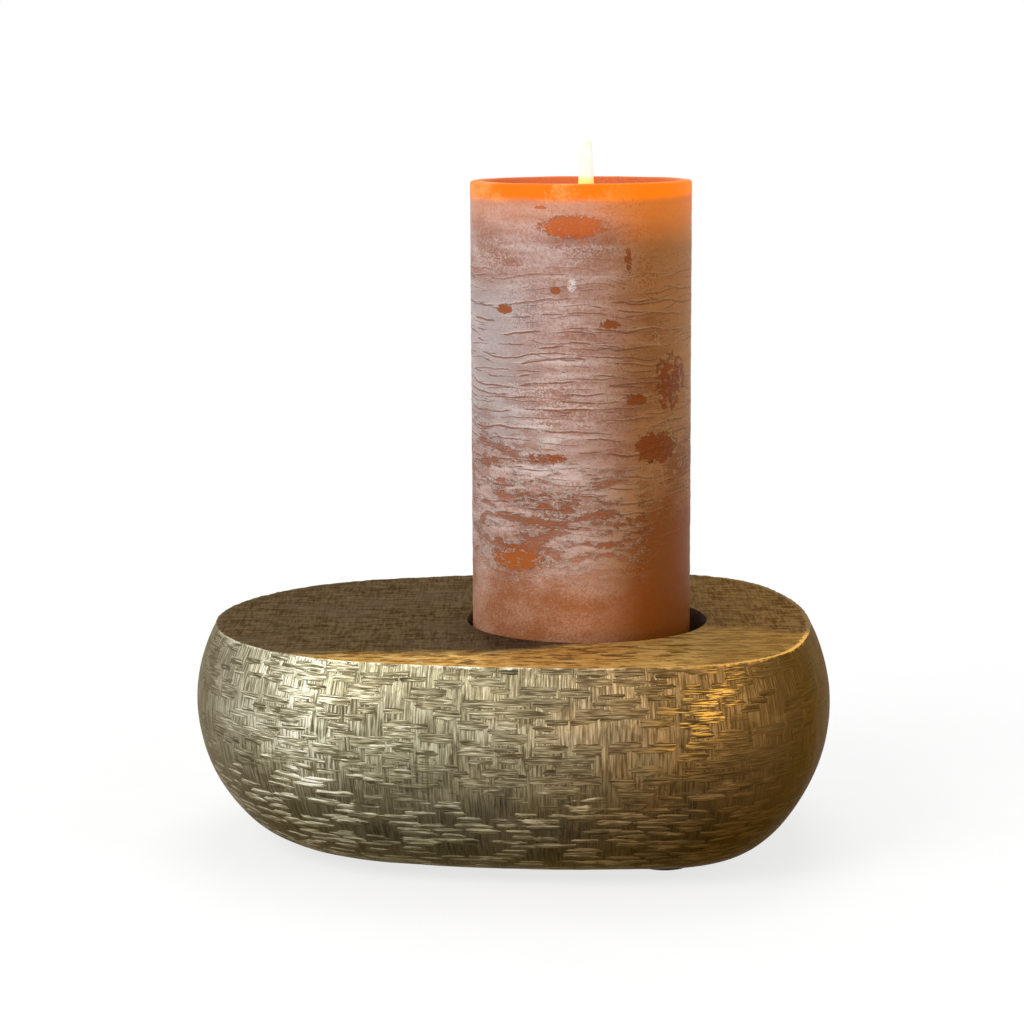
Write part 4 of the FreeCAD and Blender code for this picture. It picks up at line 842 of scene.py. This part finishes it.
bare = mark(-3.5, 137.0, 10.0, 3.6, 3.2, 0.8) * (0.7 + 0.3 * rise(speck, 0.38, 0.50))
halo = mark(2.0, 134.0, 17.0, 5.5, 3.0, 0.4) * rise(fine, 0.52, 0.60) * 0.6
bare = bare.math("MAXIMUM", halo)
for side, up, half_side, half_up, ragged in (
    (-8.5, 117.7, 1.6, 1.1, 1.6),
    (-24.0, 111.5, 2.4, 1.4, 3.0),
    (-13.0, 142.8, 1.9, 0.5, 2.0),
    (8.0, 107.3, 3.2, 1.4, 5.0),
    (22.5, 68.6, 6.4, 5.0, 3.6),
    (-20.5, 34.5, 8.0, 4.2, 3.6),
    (26.5, 88.5, 4.6, 7.0, 10.0),
    (13.5, 127.0, 0.9, 4.0, 9.0),
    (16.5, 84.0, 4.0, 1.6, 5.0),
    (-11.0, 66.0, 6.0, 1.6, 5.0),
):
    bare = bare.math("MAXIMUM", mark(side, up, half_side, half_up, ragged))
island = mottle(bent, 0.11, 0.36, detail=4, rough=0.62, seed=61)
isle_zone = rise(up_mm, 22, 40) * (1 - rise(up_mm + side_mm * 0.4, 56, 78))
isle_zone = isle_zone * (1 - rise(side_mm, 16, 26))
isles = rise(island + (speck - 0.5) * 0.30 + (fine - 0.5) * 0.16, 0.54, 0.58) * isle_zone
shore = (island + (speck - 0.5) * 0.16 - 0.512).math("ABSOLUTE")
worms = (1 - rise(shore, 0.006, 0.026)) * isle_zone
dots = rise(speck * 0.6 + cloud * 0.4, 0.565, 0.60) * rise(up_mm, 50, 90) * 0.5
isles = isles * (0.5 + 0.4 * rise(speck, 0.42, 0.58))
bare = bare.math("MAXIMUM", isles).math("MAXIMUM", dots)
vein = (mottle(bent, 0.10, 0.12, detail=4, rough=0.6, seed=71) - 0.5).math("ABSOLUTE")
right_zone = rise(side_mm, 16, 24) * rise(up_mm, 40, 62) * (1 - rise(up_mm, 100, 116))
right_worms = (1 - rise(vein, 0.006, 0.022)) * right_zone

# Painted warm shade: to the right the wax's colours turn darker and more orange, below as well.
right = rise(side_mm + (cloud - 0.5) * 16, -7, 22)
lowest = 1 - rise(up_mm + (cloud - 0.5) * 26 - rise(side_mm, 8, 24) * 26, 14, 44)
frost = mix(rise(cloud + (fine - 0.5) * 0.5, 0.35, 0.65), srgb(158, 115, 98), srgb(194, 162, 153))
grit = speck * 0.5 + band * 0.5
frost = mix((1 - rise(grit, 0.40, 0.48)) * 0.5, frost, srgb(142, 94, 74))
# A painted highlight: a pale patch on the front left, mixed into the whiter frost.
highlight_side = (side_mm + 15) / 12
highlight_up = (up_mm - 76) / 20
left_highlight = (0 - highlight_side * highlight_side - highlight_up * highlight_up).math("EXPONENT")
frost_and_highlight = rise(grit + left_highlight * 0.04, 0.50, 0.60) * (0.5 + left_highlight * 0.35)
frost = mix(frost_and_highlight, frost, srgb(222, 205, 199))
right_share = rise(cloud + (grit - 0.5) * 1.2, 0.35, 0.65)
right_frost = mix(right_share, srgb(124, 72, 28), srgb(154, 104, 60))
pale_left = rise((cloud - 0.5) * 20 - side_mm, 10, 26)
pale_left = pale_left * rise(up_mm, 60, 80) * (1 - rise(up_mm, 112, 126))
frost = mix(pale_left * 0.6, frost, srgb(183, 175, 176))
right_pale = rise(side_mm, 19, 30) * rise(up_mm, 64, 84) * 0.5
right_frost = mix(right_pale, right_frost, srgb(172, 122, 72))
right_frost = mix(rise(up_mm, 100, 116) * 0.4, right_frost, srgb(166, 104, 54))
frost = mix(right, frost, right_frost)
foot_share = rise(speck * 0.35 + cloud * 0.65, 0.40, 0.60)
foot_frost = mix(foot_share, srgb(154, 94, 56), srgb(188, 140, 114))
foot_frost = mix(right, foot_frost, mix(fine, srgb(116, 58, 6), srgb(132, 72, 16)))
frost = mix(lowest, frost, foot_frost)
naked = mix(right, srgb(154, 86, 50), srgb(124, 58, 4))
naked = mix(rise(up_mm, 128, 134), naked, srgb(190, 88, 30))
naked = mix(1 - rise(up_mm, 30, 42), naked, srgb(172, 92, 34))
skin_colour = mix(bare, frost, naked)
for share, left_colour, right_colour in (
    (lines * (1 - bare) * 0.8, srgb(140, 78, 52), srgb(100, 52, 18)),
    (lips * (1 - bare) * 0.5, srgb(214, 192, 182), srgb(168, 124, 84)),
    (worms * rise(speck, 0.38, 0.54) * 0.85, srgb(216, 196, 186), srgb(172, 132, 104)),
):
    skin_colour = mix(share, skin_colour, mix(right, left_colour, right_colour))
skin_colour = mix(right_worms * (1 - bare) * 0.5, skin_colour, srgb(172, 130, 88))
chip = mark(-3.6, 119.5, 1.4, 2.4, 4.0, 0.9) * rise(speck, 0.40, 0.5)
skin_colour = mix(chip * 0.65, skin_colour, srgb(236, 226, 222))
glow_zone = rise(up_mm + (cloud - 0.5) * 4 + right * 4, 131, 147)
glow_colour = mix(right, srgb(222, 150, 116), srgb(224, 112, 30))
skin_colour = mix(glow_zone * (1 - bare * 0.7) * 0.6, skin_colour, glow_colour)
radius = (side_mm * side_mm + front_mm * front_mm).math("SQRT")
inside = (1 - rise(radius, RIM_INSIDE + 0.2, RIM_INSIDE + 0.9)) * rise(up_mm, 140, 141)
# Painted light: the thin rim wall in bright orange, as flame light shining through it, paler at
# left.
rim = rise(up_mm + (cloud - 0.5) * 2.4 + (fine - 0.5) * 0.8, 143.6, 146.2)
rim_colour = mix(right, srgb(196, 84, 14), srgb(186, 72, 0))
rim_pale = rise(cloud + fine * 0.3, 0.62, 0.80) * (1 - right)
rim_colour = mix(rim_pale, rim_colour, srgb(226, 140, 84))
# Painted light: the dish is brightest round the flame's foot and dims towards the rim.
well_colour = mix(rise(radius, 3, 26), srgb(250, 170, 70), srgb(192, 98, 54))
shade = mix(inside, mix(rim, skin_colour, rim_colour), well_colour)
light_up = mix(rim, (0, 0, 0), mix(right, (0.52, 0.12, 0.0), (0.62, 0.16, 0.0)))
light_up = mix(glow_zone * (1 - rim) * (0.08 + right * 0.08), light_up, (0.9, 0.28, 0.03))
dish_light = mix(rise(radius, 3, 28), (0.9, 0.42, 0.08), (0.16, 0.05, 0.02))
light_up = mix(inside, light_up, dish_light)
height = fine * 0.12 + speck * 0.10 + band * 0.2 + bare * -0.4
height = height + lines * -0.36 + lips * 0.22 + worms * 0.35 + right_worms * 0.25
bump = paint.node("Bump", None, {"Strength": 0.8, "Distance": 0.0009, "Height": height})
surface(paint, paint.node("BsdfPrincipled", None, {
    "Base Color": shade, "Roughness": 0.40 + fine * 0.18 - bare * 0.1, "Normal": bump,
    "Specular IOR Level": 0.09, "Subsurface Weight": 0.08, "Subsurface Scale": 1.0,
    "Subsurface Radius": (0.004, 0.0016, 0.0008), "Emission Color": light_up,
    "Emission Strength": 1.0,
}))
wax_piece = piece_from(bm, "wax_pillar", "candle", [wax_finish])
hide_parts("wax_body")


# Flame
# A moulded flame of translucent resin on a round stem, lit from inside by the lamp in its socket.
# It leans a little to the right, is widest near its foot and ends in a blunt tip.
FLAME_FOOT = (SOCKET[0], SOCKET[1], CANDLE[2] + DISH_MIDDLE)
FLAME = (
    (0.00, 0.90, 0.00), (0.10, 0.96, 0.00), (0.20, 1.00, 0.00), (0.30, 0.98, 0.00),
    (0.40, 0.94, 0.01), (0.50, 0.905, 0.02), (0.60, 0.86, 0.05), (0.67, 0.82, 0.09),
    (0.73, 0.77, 0.15), (0.80, 0.69, 0.31), (0.87, 0.58, 0.50), (0.91, 0.49, 0.68),
    (0.95, 0.37, 0.85), (0.98, 0.24, 0.95), (0.995, 0.11, 1.0), (1.00, 0.0, 1.0),
)
FLAME_HEIGHT = 20.3
FLAME_WIDTH = 5.1
FLAME_LEAN = 0.75
bm = bmesh.new()
stem = [(1.65, -4.5), (1.65, -8.8), (2.05, -8.9), (2.05, -10.0), (3.4, -10.0), (3.4, 0.0)]
section = [(0.0, -4.5)] + stem
section += [(FLAME_WIDTH * share / 2, FLAME_HEIGHT * level) for level, share, _ in FLAME]
turned(bm, FLAME_FOOT, [(r, z + FLAME_FOOT[2]) for r, z in section], 48)
bmesh.ops.remove_doubles(bm, verts=bm.verts, dist=WELD / 2)
for vert in bm.verts:
    level = (vert.co.z - FLAME_FOOT[2]) / FLAME_HEIGHT
    if level > 0:
        for (low_level, _, low_lean), (high_level, _, high_lean) in zip(FLAME, FLAME[1:]):
            if low_level <= level <= high_level + 1e-4:
                share = (level - low_level) / (high_level - low_level)
                vert.co.x += FLAME_LEAN * (low_lean + (high_lean - low_lean) * share)
                break
bmesh.ops.recalc_face_normals(bm, faces=bm.faces)
for face in bm.faces:
    face.smooth = True
flame_finish, paint = finish("lit_resin")
spot = paint.node("TexCoord", None, None, "Object")
spot = paint.node("Mapping", None, {
    "Vector": spot, "Location": tuple(-part for part in FLAME_FOOT), "Scale": (1000, 1000, 1000),
})
up_mm = parted(spot)[2]
streak = mottle(spot, 0.5, 0.12, detail=2)
light = mix(rise(up_mm + streak * 1.5, 7.8, 10.8), (0.68, 0.46, 0.0), (0.67, 0.56, 0.65))
light = mix(rise(up_mm, 16.0, 20.2) * 0.6, light, (0.60, 0.38, 0.32))
light = mix(1 - rise(up_mm, -1.0, 1.6), light, (0.55, 0.22, 0.03))
surface(paint, paint.node("BsdfPrincipled", None, {
    "Base Color": mix(streak, srgb(236, 196, 150), srgb(228, 180, 128)), "Roughness": 0.4,
    "Sheen Weight": 1.0, "Sheen Roughness": 0.35, "Sheen Tint": (0.86, 0.44, 0.20, 1),
    "Emission Color": light, "Emission Strength": 1.0,
}))
flame = piece_from(bm, "moulded_flame", "candle", [flame_finish])
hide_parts("flame_tip")


# Socket, lamp and leads
# Under the flame a white moulded socket holds a small lamp with two tinned legs. A red and a
# black lead run from the legs down a channel in the wax to the circuit board.
def plastic(name, dark, light, rough, grain_size=900, relief=0.00015):
    """A moulded plastic with a faint grain, slight shade changes and scuffs."""
    material, paint = finish(name)
    spot = paint.node("TexCoord", None, None, "Object")
    grain = mottle(spot, grain_size, grain_size, detail=2)
    cloud = mottle(spot, 120, 120, detail=3, seed=5)
    scuff = rise(mottle(spot, 260, 60, detail=4, rough=0.7, seed=9), 0.58, 0.72)
    bump = paint.node("Bump", None, {"Strength": 0.5, "Distance": relief, "Height": grain})
    surface(paint, paint.node("BsdfPrincipled", None, {
        "Base Color": mix(cloud, dark, light), "Roughness": rough + scuff * 0.12, "Normal": bump,
    }))
    return material


def metal(name, dark, light, rough, fineness=700):
    """A bright or plated metal with drawing lines and dull spots."""
    material, paint = finish(name)
    spot = paint.node("TexCoord", None, None, "Object")
    drawn = mottle(spot, fineness, fineness / 9, detail=3)
    spots = rise(mottle(spot, 300, 300, detail=4, seed=6), 0.55, 0.72)
    bump = paint.node("Bump", None, {"Strength": 0.4, "Distance": 0.0001, "Height": drawn})
    surface(paint, paint.node("BsdfPrincipled", None, {
        "Base Color": mix(drawn, dark, light), "Metallic": 1.0, "Roughness": rough + spots * 0.2,
        "Normal": bump,
    }))
    return material


dress(plastic("socket_white", srgb(222, 218, 206), srgb(238, 234, 224), 0.4), "flame_socket")
lamp_finish, paint = finish("lamp_epoxy")
spot = paint.node("TexCoord", None, None, "Object")
cloud = mottle(spot, 400, 400, detail=2)
surface(paint, paint.node("BsdfPrincipled", None, {
    "Base Color": mix(cloud, srgb(250, 226, 170), srgb(255, 240, 200)), "Roughness": 0.15,
    "Emission Color": mix(cloud, (1.0, 0.6, 0.2), (1.0, 0.75, 0.35)), "Emission Strength": 0.8,
}))
dress(lamp_finish, "flicker_lamp")
dress(metal("tinned_wire", srgb(176, 176, 172), srgb(206, 206, 202), 0.3), "lamp_legs")
dress(plastic("red_insulation", srgb(150, 24, 18), srgb(176, 34, 26), 0.3), "red_wire")
dress(plastic("black_insulation", srgb(22, 22, 22), srgb(36, 36, 36), 0.3), "black_wire")


# Battery unit
# A dark brown moulded case fills the candle's foot. It has a cover held by two screws, two cells
# side by side over a twist-off lid with a coin slot, and their contacts of plated spring steel.
case_brown = plastic("case_brown", srgb(52, 40, 33), srgb(68, 54, 45), 0.45)
dress(case_brown, "battery_case", "case_cover", "battery_lid")
dress(metal("zinc_screw", srgb(150, 152, 150), srgb(192, 194, 190), 0.32), "case_screws")
plated = metal("plated_contact", srgb(190, 190, 184), srgb(220, 220, 214), 0.2)
dress(plated, "positive_contact", "negative_contact", "contact_spring", "bridge_contact")
cell_finish, paint = finish("cell_jacket")
spot = paint.node("TexCoord", None, None, "Object")
CELL_FOOT = 68.6
CELL_TOP = 117.4
height = parted(spot)[2] * 1000
sheen = mottle(spot, 120, 900, detail=2)
ends = (1 - rise(height, CELL_FOOT, CELL_FOOT + 0.4)) + rise(height, CELL_TOP - 0.4, CELL_TOP)
jacket = mix(sheen, srgb(44, 50, 60), srgb(62, 70, 82))
surface(paint, paint.node("BsdfPrincipled", None, {
    "Base Color": mix(ends, jacket, srgb(206, 206, 202)), "Metallic": 0.4 + ends * 0.6,
    "Roughness": 0.3 + sheen * 0.1,
}))
dress(cell_finish, "battery_cell_left", "battery_cell_right")


# Circuit board and switch
# A narrow green board stands behind the cells. It carries a timer chip, a capacitor and a
# resistor on its front, and on its back the slide switch, whose knob shows under the case.
board_finish, paint = finish("board_laminate")
spot = paint.node("TexCoord", None, None, "Object")
weave = paint.node("TexChecker", None, {"Vector": spot, "Scale": 1600.0}, output=1)
cloud = mottle(spot, 200, 200, detail=3)
tracks = rise((mottle(spot, 150, 150, detail=0, seed=8) - 0.5).math("ABSOLUTE"), 0.03, 0.05)
lacquer = mix(tracks, srgb(46, 112, 58), srgb(22, 74, 36))
lacquer = mix(weave * 0.12 + cloud * 0.2, lacquer, srgb(30, 90, 46))
surface(paint, paint.node("BsdfPrincipled", None, {
    "Base Color": lacquer, "Roughness": 0.35 + cloud * 0.1,
}))
dress(board_finish, "circuit_board")
dress(plastic("chip_resin", srgb(24, 24, 25), srgb(36, 36, 38), 0.5), "timer_chip")
dress(metal("capacitor_sleeve", srgb(30, 34, 60), srgb(44, 48, 80), 0.35), "capacitor")
dress(plastic("resistor_lacquer", srgb(186, 158, 116), srgb(206, 180, 138), 0.4), "lamp_resistor")
dress(plastic("switch_black", srgb(26, 26, 26), srgb(40, 40, 40), 0.4), "slide_switch")
dress(plastic("knob_white", srgb(214, 208, 196), srgb(230, 226, 216), 0.4), "switch_knob")
